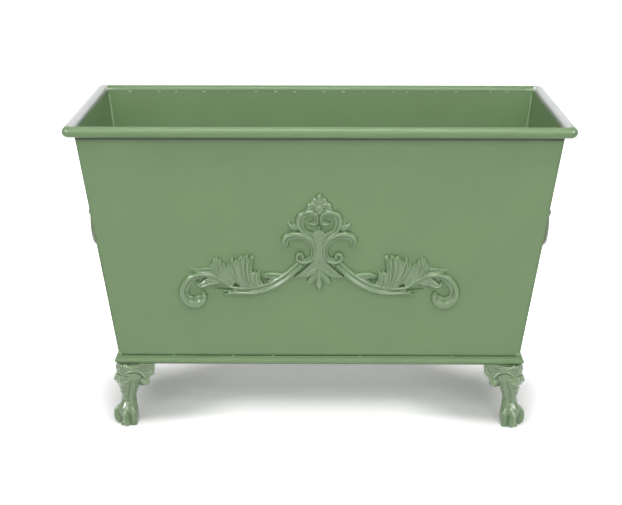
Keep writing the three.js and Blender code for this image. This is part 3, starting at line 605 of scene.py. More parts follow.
VOXEL = 0.9
FOOT_LOW, FOOT_HIGH = (-62, -62, -3), (24, 24, 113.5)
FOOT_HEIGHT = 112.0
EMPTY = 30.0
WHOLE = (slice(None),) * 3
SIGHT = np.array([0, -0.916, -0.400])   # down and back, as the feet are seen
SIGHT_STEP, SIGHT_REACH, SIGHT_TRIES = 0.4, 50, 250

# Share of the leg's height, how far its middle lies inward along the diagonal, radius.
KNEE, ANKLE, PAW, SOLE = 21.5, 12.6, 17.0, 12.5
LEG_HEIGHT = 109.0
LEG_BLUR = 14
LEG = [(1.0, 19.0, KNEE), (0.89, 16.0, KNEE), (0.79, 14.4, KNEE), (0.71, 13.9, KNEE * 0.95),
       (0.655, 14.9, KNEE * 0.86), (0.61, 15.3, KNEE * 0.79), (0.54, 14.4, ANKLE * 1.16),
       (0.48, 14.3, ANKLE), (0.40, 14.7, ANKLE), (0.34, 12.5, ANKLE * 1.16),
       (0.28, 11.0, PAW), (0.18, 12.5, PAW), (0.08, 15.0, PAW * 0.92), (0.0, 17.0, SOLE)]

# Degrees from the diagonal, how far out of the paw and share of a toe's width.
TOE_LENGTH, TOE_WIDTH, TOE_HEIGHT = 34.0, 15.2, 37.5
TOE_ROOT = -1.06 * PAW
TOES = [(-45, 0.60, 1.06), (-21, 1.17, 0.72), (21, 1.17, 0.72), (45, 0.60, 1.06)]

BRACKET_THICK = 9.5             # half the bracket's thickness
BRACKET_ROUND = 3.0
BRACKET = [(-8, 110.5), (-55.5, 110.5), (-55.2, 97), (-53.4, 92.4), (-46.6, 84.6),
           (-45.2, 78), (-42.6, 73.6), (-37, 71.2), (-30, 71.0), (-24, 72.5), (-8, 74)]


def smooth_min(a, b, k):
    h = np.clip(0.5 + 0.5 * (b - a) / k, 0, 1)
    return b + (a - b) * h - k * h * (1 - h)


def length(parts):
    return np.sqrt(sum(part ** 2 for part in parts))


def both(path):
    """A path and its twin on the other side of the foot's diagonal."""
    return [path, [(y, x, z, *rest) for x, y, z, *rest in path]]


class Field:
    def __init__(self):
        self.low = np.array(FOOT_LOW, float)
        self.axes = [np.arange(a, b + VOXEL / 2, VOXEL) for a, b in zip(FOOT_LOW, FOOT_HIGH)]
        self.f = np.full([len(a) for a in self.axes], EMPTY)

    def places(self, box):
        return np.meshgrid(*[a[s] for a, s in zip(self.axes, box)], indexing="ij")

    def blend(self, box, d, k, cut=False):
        """Joins a form to the field with a soft edge, or cuts it out."""
        sign = -1 if cut else 1
        self.f[box] = sign * smooth_min(sign * self.f[box], d, k)

    def tube(self, path, k=1.0, cut=False):
        """A tube through [x, y, z, radius] places."""
        path = np.array(path, float)
        reach = path[:, 3:].max() + 3 * k + 2
        box = window(self.axes, path[:, :3].min(0) - reach, path[:, :3].max(0) + reach)
        places = self.places(box)
        best = np.full(places[0].shape, FAR)
        for a, b in zip(path[:-1], path[1:]):
            d = b[:3] - a[:3]
            gaps = [p - q for p, q in zip(places, a)]
            t = share_along(gaps, d)
            off = length(g - t * e for g, e in zip(gaps, d))
            best = np.minimum(best, off - (a[3] + (b[3] - a[3]) * t))
        self.blend(box, best, k, cut)

    def egg(self, centre, radii, k=1.0, turn=0.0):
        centre, radii = np.array(centre, float), np.array(radii, float)
        reach = radii.max() + 3 * k + 2
        box = window(self.axes, centre - reach, centre + reach)
        x, y, z = [p - c for p, c in zip(self.places(box), centre)]
        c, s = math.cos(turn), math.sin(turn)
        offset = (c * x + s * y, c * y - s * x, z)
        r = length(p / q for p, q in zip(offset, radii))
        slope = length(p / q ** 2 for p, q in zip(offset, radii))
        self.blend(box, r * (r - 1) / np.maximum(slope, TINY), k)

    def block(self, low, high, rounding, k):
        low, high = np.array(low, float), np.array(high, float)
        box = window(self.axes, low - 6, high + 6)
        q = [np.abs(p - (a + b) / 2) - (b - a) / 2 + rounding
             for p, a, b in zip(self.places(box), low, high)]
        d = length(np.maximum(p, 0) for p in q) + np.minimum(np.max(q, 0), 0) - rounding
        self.blend(box, d, k)

    def at(self, p):
        i = np.clip(np.round((p - self.low) / VOXEL).astype(int), 0,
                    np.array(self.f.shape) - 1)
        return self.f[tuple(i)]

    def seen(self, x, z):
        """Where the sight line through (x, z) of the wall's plane lands, if it does."""
        p = np.array([x, 2.0, z]) - SIGHT_REACH * SIGHT
        for _ in range(SIGHT_TRIES):
            if self.at(p) < 0:
                return p
            p = p + SIGHT_STEP * SIGHT
        return None

    def draw(self, marks, radius, sink, k=0.8, cut=False, taper=1.0):
        """Lays a tube along [x, z] marks of the front view, sunk into what it lands on."""
        hits = [p for p in (self.seen(x, z) for x, z in marks) if p is not None]
        path = [(*(p + SIGHT * sink), radius * (1 - (1 - taper) * i / max(len(hits) - 1, 1)))
                for i, p in enumerate(hits)]
        for one in both(path):
            self.tube(one, k, cut)

    def cut(self, marks, radius, sink, k):
        self.draw(marks, radius, sink, k, cut=True)

    def mesh(self):
        """Surface through the zero level: one vertex in each cell that it crosses."""
        f, inside = self.f, self.f < 0
        ends = (slice(0, -1), slice(1, None))
        total = np.zeros([n - 1 for n in f.shape] + [3])
        count = np.zeros(total.shape[:3])
        for axis in range(3):
            others = [a for a in range(3) if a != axis]
            for steps in itertools.product((0, 1), repeat=2):
                pick = [None] * 3
                for other, step in zip(others, steps):
                    pick[other] = ends[step]
                pick[axis] = ends[0]
                near = f[tuple(pick)]
                pick[axis] = ends[1]
                far = f[tuple(pick)]
                cross = (near < 0) != (far < 0)
                total[..., axis] += np.where(cross, near / np.where(cross, near - far, 1), 0)
                for other, step in zip(others, steps):
                    total[..., other] += np.where(cross, step, 0)
                count += cross
        cells = count > 0
        index = np.full(cells.shape, -1)
        index[cells] = np.arange(cells.sum())
        places = self.low + VOXEL * (np.argwhere(cells) + total[cells] / count[cells][:, None])
        quads = []
        for axis in range(3):
            where = np.argwhere(np.diff(inside, axis=axis))
            o1, o2 = (axis + 1) % 3, (axis + 2) % 3
            for o in (o1, o2):
                where = where[(where[:, o] > 0) & (where[:, o] < f.shape[o] - 1)]
            ring = []
            for s1, s2 in ((1, 1), (0, 1), (0, 0), (1, 0)):
                cell = where.copy()
                cell[:, o1] -= s1
                cell[:, o2] -= s2
                ring.append(index[tuple(cell.T)])
            ring = np.stack(ring, 1)
            outward = ~inside[tuple(where.T)]
            ring[outward] = ring[outward][:, ::-1]
            quads.append(ring)
        return places, np.vstack(quads)


def leg(foot):
    x, y, z = foot.places(WHOLE)
    share, inward, radius = np.array(LEG)[::-1].T
    fine = np.linspace(0, LEG_HEIGHT, 220)

    def curve(values):
        v = np.interp(fine, share * LEG_HEIGHT, values)
        for _ in range(LEG_BLUR):
            v = np.concatenate([v[:1], (v[:-2] + 2 * v[1:-1] + v[2:]) / 4, v[-1:]])
        return np.interp(z, fine, v)
    c = -curve(inward * math.sqrt(0.5))
    d = np.hypot(x - c, y - c) - curve(radius)
    foot.f = np.minimum(foot.f, np.maximum(d * 0.95, z - LEG_HEIGHT - 1))


def toes(foot):
    for degrees, reach, share in TOES:
        turn = math.radians(45 + degrees)
        c, s = math.cos(turn), math.sin(turn)
        whole = (TOE_LENGTH / 2, share * TOE_WIDTH / 2, TOE_HEIGHT * 0.535)
        knuckle, tip = (8.2, 6.6 * share, 7.4), (7.6, 6.8 * share, 8.4)
        for out, z, radii, k in ((0, TOE_HEIGHT * 0.465, whole, 0.9), (8.5, 24.0, knuckle, 1.6),
                                 (7.5, 11.0, tip, 1.6)):
            foot.egg((TOE_ROOT + reach * PAW * c + c * out,
                      TOE_ROOT + reach * PAW * s + s * out, z), radii, k, turn)


def polygon_distance(outline, x, z):
    best = np.full(x.shape, FAR)
    inside = np.zeros(x.shape, bool)
    for a, b in zip(outline, np.roll(outline, -1, 0)):
        d = b - a
        gaps = (x - a[0], z - a[1])
        t = share_along(gaps, d)
        best = np.minimum(best, np.hypot(gaps[0] - t * d[0], gaps[1] - t * d[1]))
        crosses = (a[1] > z) != (b[1] > z)
        at = a[0] + (z - a[1]) / np.where(b[1] == a[1], TINY, b[1] - a[1]) * d[0]
        inside ^= crosses & (x < at)
    return np.where(inside, -best, best)


def bracket(foot, turned):
    """The carved bracket along one wall."""
    box = window(foot.axes, *both([(-60, -21, 66), (-2, 4, 112)])[turned])
    x, y, z = foot.places(box)
    along, across = (y, x) if turned else (x, y)
    sides = (polygon_distance(np.array(BRACKET, float), along, z) + BRACKET_ROUND,
             np.abs(across - (1 - BRACKET_THICK)) - BRACKET_THICK + BRACKET_ROUND)
    d = (length(np.maximum(side, 0) for side in sides) + np.minimum(np.maximum(*sides), 0)
         - BRACKET_ROUND)
    foot.blend(box, d, 3.0)


def carving(foot):
    # channel between the two middle toes
    foot.tube([(4.4, 4.4, 38, 1), (4.4, 4.4, 30, 1.8), (5, 5, 16, 1.8), (6, 6, 4, 1.6)], 1.6,
              cut=True)
    # lower lump of each bracket, with a pocket beside the shin
    for x, y in ((-38.0, -5.0), (-5.0, -38.0)):
        foot.egg((x, y, 77.6), (8.4, 8.4, 7.0), 1.2)
    foot.cut([(-33, 87), (-39, 86.4), (-45, 88)], 1.2, 0.1, 0.6)
    foot.cut([(-27.6, 77.4), (-30.4, 74.6)], 3.2, 0.6, 1.0)
    # tendons down the shin
    foot.draw([(-30, 92), (-26.5, 85), (-21.6, 74), (-18, 62), (-15.6, 50), (-13.4, 40)],
              3.6, 2.0, 2.6, taper=0.8)
    foot.cut([(-27, 80), (-25.4, 73), (-23, 62), (-21.2, 50)], 2.2, -0.6, 2.2)
    foot.cut([(-17.6, 78), (-13.6, 66), (-11, 54), (-9.6, 44)], 2.2, -0.7, 2.2)
    # arched fold between the carved mass and the smooth knee
    foot.cut([(-10.5, 92), (-15, 94.4), (-21, 95.6), (-27, 94.8), (-32, 91.6), (-35.5, 86)],
             1.4, 0.4, 0.7)
    foot.draw([(-9, 94.2), (-15, 97.2), (-22, 98.6), (-28.6, 97.6), (-34.6, 94.2), (-38.6, 89)],
              2.3, 0.9)
    # tufts at the top of the knee
    for x in (1.8, -2.6, -6.8, -11.0):
        foot.draw([(x + 1.6, 108.5), (x + 0.4, 105), (x, 101.6), (x - 1.4, 97.6)],
                  2.0, -0.5, 0.35, taper=0.45)
    # curls and leaf blades of the bracket
    for cx, cz, r in ((-19.6, 104.0, 3.2), (-44.0, 104.4, 3.2)):
        foot.draw([(cx + r * math.cos(t), cz + r * math.sin(t))
                   for t in np.linspace(-2.2, 3.4, 12)], 1.5, 0.4, 0.5, taper=0.6)
        foot.draw([(cx, cz), (cx + 0.1, cz)], 1.4, 0.2, 0.4)
    for z0, z1 in ((108.4, 107.4), (104.4, 102.4), (100.6, 98.0)):
        foot.draw([(-25, z0), (-31, z0 + 0.5), (-38.5, z1)], 1.6, 0.3, 0.5, taper=0.45)
    foot.draw([(-12.6, 109), (-14, 104), (-16.6, 100.4)], 1.9, 0.4, 0.6, taper=0.5)
    foot.draw([(-48.4, 109), (-51.6, 106), (-52.6, 101)], 1.6, 0.4, 0.5, taper=0.6)
    foot.draw([(-50, 99), (-46.4, 95.4), (-41, 93.6)], 1.7, 0.3, 0.6, taper=0.5)
    # second clump: its crease above, its lump at the side and its tufts
    foot.cut([(5.5, 92.4), (1.6, 90.6), (-3, 88), (-8, 87), (-12.5, 87.6)], 1.3, 0.4, 0.6)
    for lump in both([(9.6, -8.0, 81.4, 4.0), (9.8, -6.0, 81.0, 4.0)]):
        foot.tube(lump, 1.4)
    for x in (1.8, -2.2, -6.2):
        foot.draw([(x - 0.6, 87.4), (x, 83.4), (x + 0.2, 79.6)], 2.1, -0.4, 0.35, taper=0.5)
    foot.cut([(3.4, 77.6), (-1, 75), (-6, 74), (-12, 75)], 1.5, 0.3, 0.7)
    foot.cut([(2.6, 70), (-1.5, 68.6), (-7, 68)], 1.2, 0.2, 0.7)
    foot.cut([(1.4, 61.6), (-1.8, 60.4), (-6, 60)], 1.2, 0.2, 0.7)


def proudness(places, quads, passes):
    """How far each place stands out of the blurred surface."""
    start, end = quads.ravel(), np.roll(quads, -1, 1).ravel()
    size = len(places)
    count = np.bincount(start, minlength=size) + np.bincount(end, minlength=size)
    across = np.cross(places[quads[:, 2]] - places[quads[:, 0]],
                      places[quads[:, 3]] - places[quads[:, 1]])
    normals = np.zeros_like(places)
    for k, axis in itertools.product(range(4), range(3)):
        normals[:, axis] += np.bincount(quads[:, k], across[:, axis], size)
    normals /= np.maximum(np.linalg.norm(normals, axis=1), TINY)[:, None]
    smooth = places
    for _ in range(passes):
        smooth = np.stack([(np.bincount(start, values[end], size)
                            + np.bincount(end, values[start], size)) / count
                           for values in smooth.T], 1)
    return ((places - smooth) * normals).sum(1)


# Name, sides of the middle in x and y, cosine and sine of the quarter turns from the first.
CORNERS = (("back_right", 1, 1, 1, 0), ("back_left", -1, 1, 0, 1),
           ("front_left", -1, -1, -1, 0), ("front_right", 1, -1, 0, -1))
CORNER_X, CORNER_Y = 331.925, 121.925
PLAIN_TONE = 0.46
PROUD_BLUR = 8


def feet():
    foot = Field()
    leg(foot)
    toes(foot)
    foot.block((-23.5, -23.5, -4), (4, 4, 8), 3.8, 4.0)
    for turned in (False, True):
        bracket(foot, turned)
    foot.block((-57, -57, 109), (3, 3, 112), 0.4, 0.3)
    carving(foot)
    z = foot.places(WHOLE)[2]
    foot.f = np.maximum(foot.f, np.maximum(-z, z - FOOT_HEIGHT))
    places, quads = foot.mesh()
    # tones for the paint: painted shade in hollows, painted highlight on proud places
    tones = np.clip(PLAIN_TONE + proudness(places, quads, PROUD_BLUR), 0, 1)
    x, y, z = places.T
    for name, sx, sy, c, s in CORNERS:
        placed = np.stack([sx * CORNER_X + c * x - s * y, sy * CORNER_Y + s * x + c * y, z], 1)
        obj = add_object("paw_" + name, placed, quads, casting_paint,
                         replaces=("foot_" + name,))
        set_relief(obj, tones)


feet()


# ---- swept pieces

RIM_RADIUS, RIM_Z, RIM_X, RIM_Y = 8.5, 518.5, 391.5, 181.5
RIM_RETURN, GAP, FLARE, SHEET_THICK = 9.0, 0.3, 1 / 8, 1.5
TOP_HALF_LENGTH, TOP_HALF_DEPTH = 382.7, 172.7
WALL_BOTTOM = 112.3
PAN_TOP = 114.6
SIDES = (("left", -1), ("right", 1))
QUARTER = math.pi / 2


def half_length(z):
    return TOP_HALF_LENGTH - FLARE * (RIM_Z - z)


def half_depth(z):
    return TOP_HALF_DEPTH - FLARE * (RIM_Z - z)


def circle(sides):
    turn = np.linspace(0, 2 * math.pi, sides, endpoint=False)
    return np.cos(turn), np.sin(turn)


def unit(v):
    return v / np.linalg.norm(v)


class Shape:
    """Places and faces of one piece, gathered from simple closed forms."""

    def __init__(self):
        self.places, self.faces, self.count = [], [], 0

    def skin(self, rings):
        """A closed form through rings of places."""
        rings = np.asarray(rings, float)
        n, m = rings.shape[:2]
        faces = [(r * m + i, r * m + (i + 1) % m, (r + 1) * m + (i + 1) % m, (r + 1) * m + i)
                 for r in range(n - 1) for i in range(m)]
        faces += [tuple(range(m))[::-1], tuple((n - 1) * m + i for i in range(m))]
        flat = rings.reshape(-1, 3)
        away = flat - flat.mean(0)
        volume = sum(np.dot(away[f[0]], np.cross(away[f[i]], away[f[i + 1]]))
                     for f in faces for i in range(1, len(f) - 1))
        turn = -1 if volume < 0 else 1
        self.places.append(flat)
        self.faces += [tuple(i + self.count for i in f[::turn]) for f in faces]
        self.count += len(flat)

    def tube(self, path, radii, sides=32, up=(0, 0, 1)):
        """Round section along a path that lies square to up."""
        path, up = np.asarray(path, float), np.array(up, float)
        along = np.gradient(path, axis=0)
        along /= np.linalg.norm(along, axis=1)[:, None]
        across = np.cross(up, along)
        cos, sin = circle(sides)
        self.skin(path[:, None] + radii[:, None, None] * (
            across[:, None] * cos[None, :, None] + up * sin[None, :, None]))

    def lathe(self, profile, place, axis, sides=24):
        """Rings of [radius, height] round an axis through a place."""
        axis = unit(np.array(axis, float))
        side = unit(np.cross(axis, (0.3, 0.5, 0.8)))
        other = np.cross(axis, side)
        cos, sin = (part[:, None] for part in circle(sides))
        self.skin([np.array(place) + axis * height + max(radius, 0.02) * (side * cos + other * sin)
                   for radius, height in profile])

    def blob(self, centre, radii, seed, sides=14):
        """Weld metal: an egg with an uneven skin."""
        rng = np.random.default_rng(seed)
        cos, sin = circle(sides)
        rings = []
        for t in np.linspace(0.12, math.pi - 0.12, 8):
            r = math.sin(t) * (1 + 0.08 * rng.standard_normal(sides))
            rings.append(np.stack([radii[0] * r * cos, radii[1] * r * sin,
                                   np.full(sides, radii[2] * math.cos(t))], 1)
                         + np.array(centre))
        self.skin(rings)

    def build(self, name, material, body="root", replaces=(), sharp=40):
        obj = add_object(name, np.vstack(self.places), self.faces, material, body,
                         replaces)
        obj.data.set_sharp_from_angle(angle=math.radians(sharp))
        return obj

    def tone(self, obj, first, rest):
        """Paint tones of the first vertices, and one for all the others."""
        set_relief(obj, first + [rest] * (len(obj.data.vertices) - len(first)))


# ---- rim

BEND, BEND_STEPS = 4.0, 10
RUN = 40                        # longest straight step of a rim path
TUBE_SIDES = 40
SPECKS, SPECK_START, SPECK_PITCH = 17, -340, 42.5
PLAIN, GROOVE_SHADE, UNDER_NOSE_SHADE, SPECK_GLINT = 0.55, 0.0, 0.25, 1.0   # tones of the seam paint: plain, painted shade in the groove, painted shade under the nose, painted glint on the weld specks


def bent_path(corners):
    """Straight runs at the height of the rim, joined by short round bends."""
    corners = [np.array(c, float) for c in corners]
    path = [corners[0]]
    for before, at, after in zip(corners, corners[1:], corners[2:]):
        u, v = unit(before - at), unit(after - at)
        path += [at + BEND * (u + v) - BEND * (v * math.cos(t) + u * math.sin(t))
                 for t in np.linspace(0, QUARTER, BEND_STEPS)]
    path.append(corners[-1])
    fine = []
    for a, b in zip(path, path[1:]):
        pieces = max(1, int(np.linalg.norm(b - a) / RUN))
        fine += [a + (b - a) * i / pieces for i in range(pieces)]
    return np.array([(x, y, RIM_Z) for x, y in [*fine, path[-1]]])


def rim_tube(shape, corners):
    """Tube with softened ends, where it butts against its neighbours."""
    path = bent_path(corners)
    first, last = unit(path[1] - path[0]), unit(path[-1] - path[-2])
    whole = np.array([path[0], path[0] + 0.25 * first, path[0] + 0.8 * first, *path[1:-1],
                      path[-1] - 0.8 * last, path[-1] - 0.25 * last, path[-1]])
    radii = np.full(len(whole), RIM_RADIUS)
    radii[[0, -1]] -= 0.8
    radii[[1, -2]] -= 0.25
    shape.tube(whole, radii, TUBE_SIDES)


def weld_ring(shape, x, y, along_x, seed):
    """Flat bead of weld round a butt joint of the rim, kept below the tube's skin."""
    rng = np.random.default_rng(seed)
    cos, sin = circle(TUBE_SIDES)
    rings = []
    for off, drop in ((-0.75, 0.7), (-0.35, 0.16), (0.0, 0.06), (0.35, 0.16), (0.75, 0.7)):
        r = RIM_RADIUS - drop - 0.05 * np.abs(rng.standard_normal(TUBE_SIDES))
        ring = [np.full(TUBE_SIDES, off), r * cos]
        rings.append(np.stack([*(ring if along_x else ring[::-1]), r * sin], 1) + (x, y, RIM_Z))
    shape.skin(rings)


def rims():
    front = Shape()
    rim_tube(front, [(-RIM_X, RIM_RETURN - RIM_Y), (-RIM_X, -RIM_Y), (RIM_X, -RIM_Y),
                     (RIM_X, RIM_RETURN - RIM_Y)])
    for side, sign in SIDES:
        weld_ring(front, sign * RIM_X, RIM_RETURN + GAP / 2 - RIM_Y, False, 3 + sign)
        rail = Shape()
        rim_tube(rail, [(sign * RIM_X, RIM_RETURN + GAP - RIM_Y), (sign * RIM_X, RIM_Y),
                        (sign * (RIM_X - RIM_RETURN), RIM_Y)])
        weld_ring(rail, sign * (RIM_X - RIM_RETURN - GAP / 2), RIM_Y, True, 8 + sign)
        rail.build("rim_rail_" + side, rail_paint, replaces=("rim_" + side,))
    front.build("rim_tube_front", sheet_paint, replaces=("rim_front",))
    back = Shape()
    rim_tube(back, [(RIM_RETURN + GAP - RIM_X, RIM_Y), (RIM_X - RIM_RETURN - GAP, RIM_Y)])
    # weld specks along the back rim; the tube keeps the plain tone and the specks carry a painted glint
    plain = [PLAIN] * back.count
    rng = np.random.default_rng(11)
    for i in range(SPECKS):
        x = SPECK_START + i * SPECK_PITCH + 8 * rng.standard_normal()
        size = 1 + 0.25 * rng.standard_normal()
        back.blob((x, TOP_HALF_DEPTH - SHEET_THICK - 0.2, RIM_Z - 1.2),
                  (2.6 * size, 1.1, 1.2 * size), i)
    obj = back.build("rim_tube_back", seam_shade_paint, replaces=("rim_back",))
    back.tone(obj, plain, SPECK_GLINT)


# ---- corners and moulding

INSIDE_WELD, MITRE_ROUND, MITRE_DEEP, MITRE_THIN = 5.0, 1.3, 2.2, 0.35


def corner_welds():
    """Hollow weld down each inside corner, and the closed mitre on the outside."""
    for name, sx, sy, _, _ in CORNERS:
        shape = Shape()
        rng = np.random.default_rng(20 + sx + 2 * sy)
        angles = np.linspace(0, QUARTER, 9)

        def column(heights, inset, outline):
            shape.skin([[(sx * (half_length(z) - inset - u), sy * (half_depth(z) - inset - v), z)
                         for u, v in outline()] for z in heights])

        def hollow():
            r = INSIDE_WELD * (1 + 0.05 * rng.standard_normal())
            return [(0.0, 0.0)] + [(r * (1 - math.sin(a)), r * (1 - math.cos(a)))
                                   for a in angles]

        def mitre():
            rounded = [(MITRE_ROUND - MITRE_ROUND * math.sin(a),
                        MITRE_ROUND - MITRE_ROUND * math.cos(a)) for a in angles]
            return [(MITRE_DEEP, MITRE_THIN), (MITRE_DEEP, 0.0), *rounded, (0.0, MITRE_DEEP),
                    (MITRE_THIN, MITRE_DEEP), (MITRE_THIN, MITRE_THIN)]
        column(np.linspace(PAN_TOP, RIM_Z - 6.0, 60), SHEET_THICK + 0.2, hollow)
        column(np.linspace(WALL_BOTTOM + 0.2, RIM_Z - 4.0, 12), 0, mitre)
        shape.build("corner_weld_" + name, sheet_paint,
                    replaces=("corner_seam_" + name,), sharp=50)


MOULDING_TOP = WALL_BOTTOM + 15.2
MOULDING_RINGS = 25
GROOVE_WIDE, BAND_START, NOSE_START = 2.3, 1.0, 3.6    # where the painted shade in the groove and under the nose gives way to the band's plain tone
TACKS = {"front": (-242.0, -143.0, -77.0, 68.0, 221.0), "back": (-230.0, -70.0, 60.0, 215.0),
         "left": (-52.0, 48.0), "right": (-50.0, 55.0)}


def bezier(a, b, c, d, steps):
    t = np.linspace(0, 1, steps)[:, None]
    a, b, c, d = map(np.array, (a, b, c, d))
    return (a * (1 - t) ** 3 + 3 * b * t * (1 - t) ** 2 + 3 * c * t * t * (1 - t)
            + d * t ** 3).tolist()


def moulding_outline():
    """From the wall over the groove, lip, hollow, nose and undercut: [out, height]."""
    top = MOULDING_TOP
    nose, tuck = (8.0, top - 7.6), (3.4, WALL_BOTTOM + 2.0)
    return [(-0.6, top + 0.6), (0.15, top + 0.5), (0.3, top - 3.2), (1.9, top - 2.2),
            (2.2, top - 0.3), (2.4, top),
            *((2.8 + 0.6 * math.sin(a), top - 0.6 + 0.6 * math.cos(a))
              for a in np.linspace(0.0, QUARTER, 4)),
            (3.4, top - 2.6), (3.2, top - 3.1),
            *bezier((3.4, top - 3.6), (3.6, top - 6.0), (7.7, top - 4.8), nose, 10),
            *bezier(nose, (8.0, top - 11.2), (5.6, top - 12.6), tuck, 8)[1:],
            (3.2, WALL_BOTTOM + 0.3), (2.9, WALL_BOTTOM + 0.02), (-0.6, WALL_BOTTOM + 0.02)]


def moulding():
    outline = moulding_outline()
    # painted shade on the strip of wall over the band, in its groove and under its nose; the rest keeps
    # the plain tone
    tones = [GROOVE_SHADE if out < GROOVE_WIDE and z > WALL_BOTTOM + BAND_START else
             UNDER_NOSE_SHADE if z < WALL_BOTTOM + NOSE_START else PLAIN for out, z in outline]
    for side in ("front", "back", "left", "right"):
        along_x = side in ("front", "back")
        sign = 1 if side in ("back", "right") else -1
        length_at, depth_at = half_length, half_depth
        if not along_x:
            length_at, depth_at = half_depth, half_length

        def laid(along, across, up):
            return (along, across, up) if along_x else (across, along, up)
        shape = Shape()
        shape.skin([[laid(share * (length_at(z) + out - 0.02), sign * (depth_at(z) + out), z)
                     for out, z in outline] for share in np.linspace(-1, 1, MOULDING_RINGS)])
        wall = depth_at(MOULDING_TOP)
        for i, at in enumerate(TACKS[side]):
            shape.blob(laid(at, sign * (wall + 1.1), MOULDING_TOP - 0.2), laid(2.2, 1.7, 1.3),
                       40 + i)
        for end in (-1, 1) if along_x else ():
            x, y = length_at(MOULDING_TOP), depth_at(MOULDING_TOP)
            shape.blob((end * (x - 1.6), sign * (y - 0.2), MOULDING_TOP + 1.2),
                       (4.2, 3.0, 5.4), 60 + end, 18)
            shape.blob((end * (x + 2.6), sign * (y + 2.6), MOULDING_TOP - 3.4),
                       (1.5, 1.5, 2.4), 70 + end)
        obj = shape.build("moulding_" + side, seam_shade_paint,
                          replaces=("base_moulding_" + side,), sharp=35)
        shape.tone(obj, tones * MOULDING_RINGS, PLAIN)


# ---- handles and bolts

PIVOT_X, PIVOT_Z, STAND_OFF = 378.4, 354.5, 16.075
BAIL_HALF_WIDTH, BAIL_DROP, BAIL_ARC, BAIL_RADIUS = 54.0, 15.0, 50.0, 5.5
COLLARS, COLLAR_WIDTH, COLLAR_RISE = (0.40, 0.46), 0.012, 0.75
KNUCKLE, PIN, PIN_LENGTH = 5.8, 4.0, 17.5
RIVET_Y, RIVET_Z = (-22, 22), (-12, 12)
BOLT_PLACES = ((44, 16), (16, 44))
HEX_APOTHEM, HEX_SIDES = 6.5, 48
HEX_LEVELS = ((0.0, 9.0), (0.5, 9.0), (4.1, 9.0), (4.6, 7.1), (5.0, 6.2))    # height, radius
HEX_TOP = (5.0, 5.4)
PLATE_EDGE = 0.0007


def bail(side, sign):
    shape = Shape()
    arc = [(-BAIL_HALF_WIDTH * math.cos(t), -BAIL_DROP - BAIL_ARC * math.sin(t))
           for t in np.linspace(0, math.pi, 57)]
    arms = [(-BAIL_HALF_WIDTH, z) for z in (-0.5, -4, -8, -12)]
    path = arms + arc + [(-y, z) for y, z in arms[::-1]]
    share = np.linspace(-1, 1, len(path))
    collar = sum(np.exp(-((np.abs(share) - at) / COLLAR_WIDTH) ** 2) for at in COLLARS)
    swell = 0.25 * np.cos(share * 2.2).clip(0)
    radii = BAIL_RADIUS - 0.3 + swell + COLLAR_RISE * collar
    radii[[0, -1]] = BAIL_RADIUS - 0.1
    shape.tube([(sign * PIVOT_X, y, PIVOT_Z + z) for y, z in path], radii, 28, (1, 0, 0))
    for end in (-1, 1):
        top = (sign * PIVOT_X, end * BAIL_HALF_WIDTH, PIVOT_Z)
        shape.lathe([(KNUCKLE * math.sin(t), -KNUCKLE * math.cos(t))
                     for t in np.linspace(0.05, math.pi - 0.05, 16)], top, (0, 1, 0))
        shape.lathe([(PIN, 0.0), (PIN, PIN_LENGTH - 0.6), (PIN - 0.6, PIN_LENGTH)], top,
                    (0, -end, 0))
    shape.build("bail_" + side, casting_paint, side + "_bail",
                (side + "_handle_bail",), sharp=45)


def rivets(side, sign):
    out = np.array([sign * math.cos(LEAN), 0, -math.sin(LEAN)])
    up = np.array([sign * math.sin(LEAN), 0, math.cos(LEAN)])
    centre = np.array([sign * PIVOT_X, 0, PIVOT_Z]) - STAND_OFF * out
    tail = [(4.4 * math.sin(t), -1.8 - 2.4 * math.cos(t)) for t in np.linspace(0, QUARTER, 6)]
    dome = [(5.5 * math.cos(t), 3.6 + 2.6 * math.sin(t)) for t in np.linspace(0, QUARTER, 8)]
    profile = [*tail, (4.4, -1.8), (3.0, -1.7), (3.0, 3.5), (5.2, 3.5), *dome]
    for number, (y, z) in enumerate(itertools.product(RIVET_Y, RIVET_Z), 1):
        shape = Shape()
        shape.lathe(profile, centre + np.array([0, y * sign, 0]) + z * up, out)
        shape.build(f"rivet_{side}_{number}", casting_paint,
                    replaces=(f"{side}_handle_rivet_{number}",))


def bolts():
    """Hexagon bolts with chamfered heads, inside on the floor."""
    cos, sin = circle(HEX_SIDES)
    turn = np.linspace(0, 2 * math.pi, HEX_SIDES, endpoint=False)
    folded = (turn + math.pi / 6) % (math.pi / 3) - math.pi / 6
    hexagon = HEX_APOTHEM / np.cos(folded)
    rings = [(level, np.minimum(hexagon, most)) for level, most in HEX_LEVELS]
    rings.append((HEX_TOP[0], np.full(HEX_SIDES, HEX_TOP[1])))
    for name, sx, sy, c, s in CORNERS:
        for number, (far, near) in enumerate(BOLT_PLACES, 1):
            place = (sx * CORNER_X - (c * far - s * near),
                     sy * CORNER_Y - (s * far + c * near), PAN_TOP)
            shape = Shape()
            shape.skin([np.stack([r * cos, r * sin, np.full(HEX_SIDES, level)], 1) + place
                        for level, r in rings])
            shape.lathe([(4.0, 0.5), (4.0, -18.2), (3.2, -19.0)], place, (0, 0, 1), 20)
            shape.build(f"hex_bolt_{name}_{number}", zinc,
                        replaces=(f"foot_bolt_{name}_{number}",), sharp=25)


def soften_plate(node):
    """Rounds the edges of a handle's backplate and lugs."""
    bevel = nodes[node].modifiers.new("edges", "BEVEL")
    bevel.width = PLATE_EDGE
    bevel.segments = 3
    bevel.limit_method = "ANGLE"
    bevel.angle_limit = math.radians(50)


rims()
corner_welds()
moulding()
for side, sign in SIDES:
    bail(side, sign)
    rivets(side, sign)
    soften_plate(side + "_handle_plate")
bolts()


# ---- stage

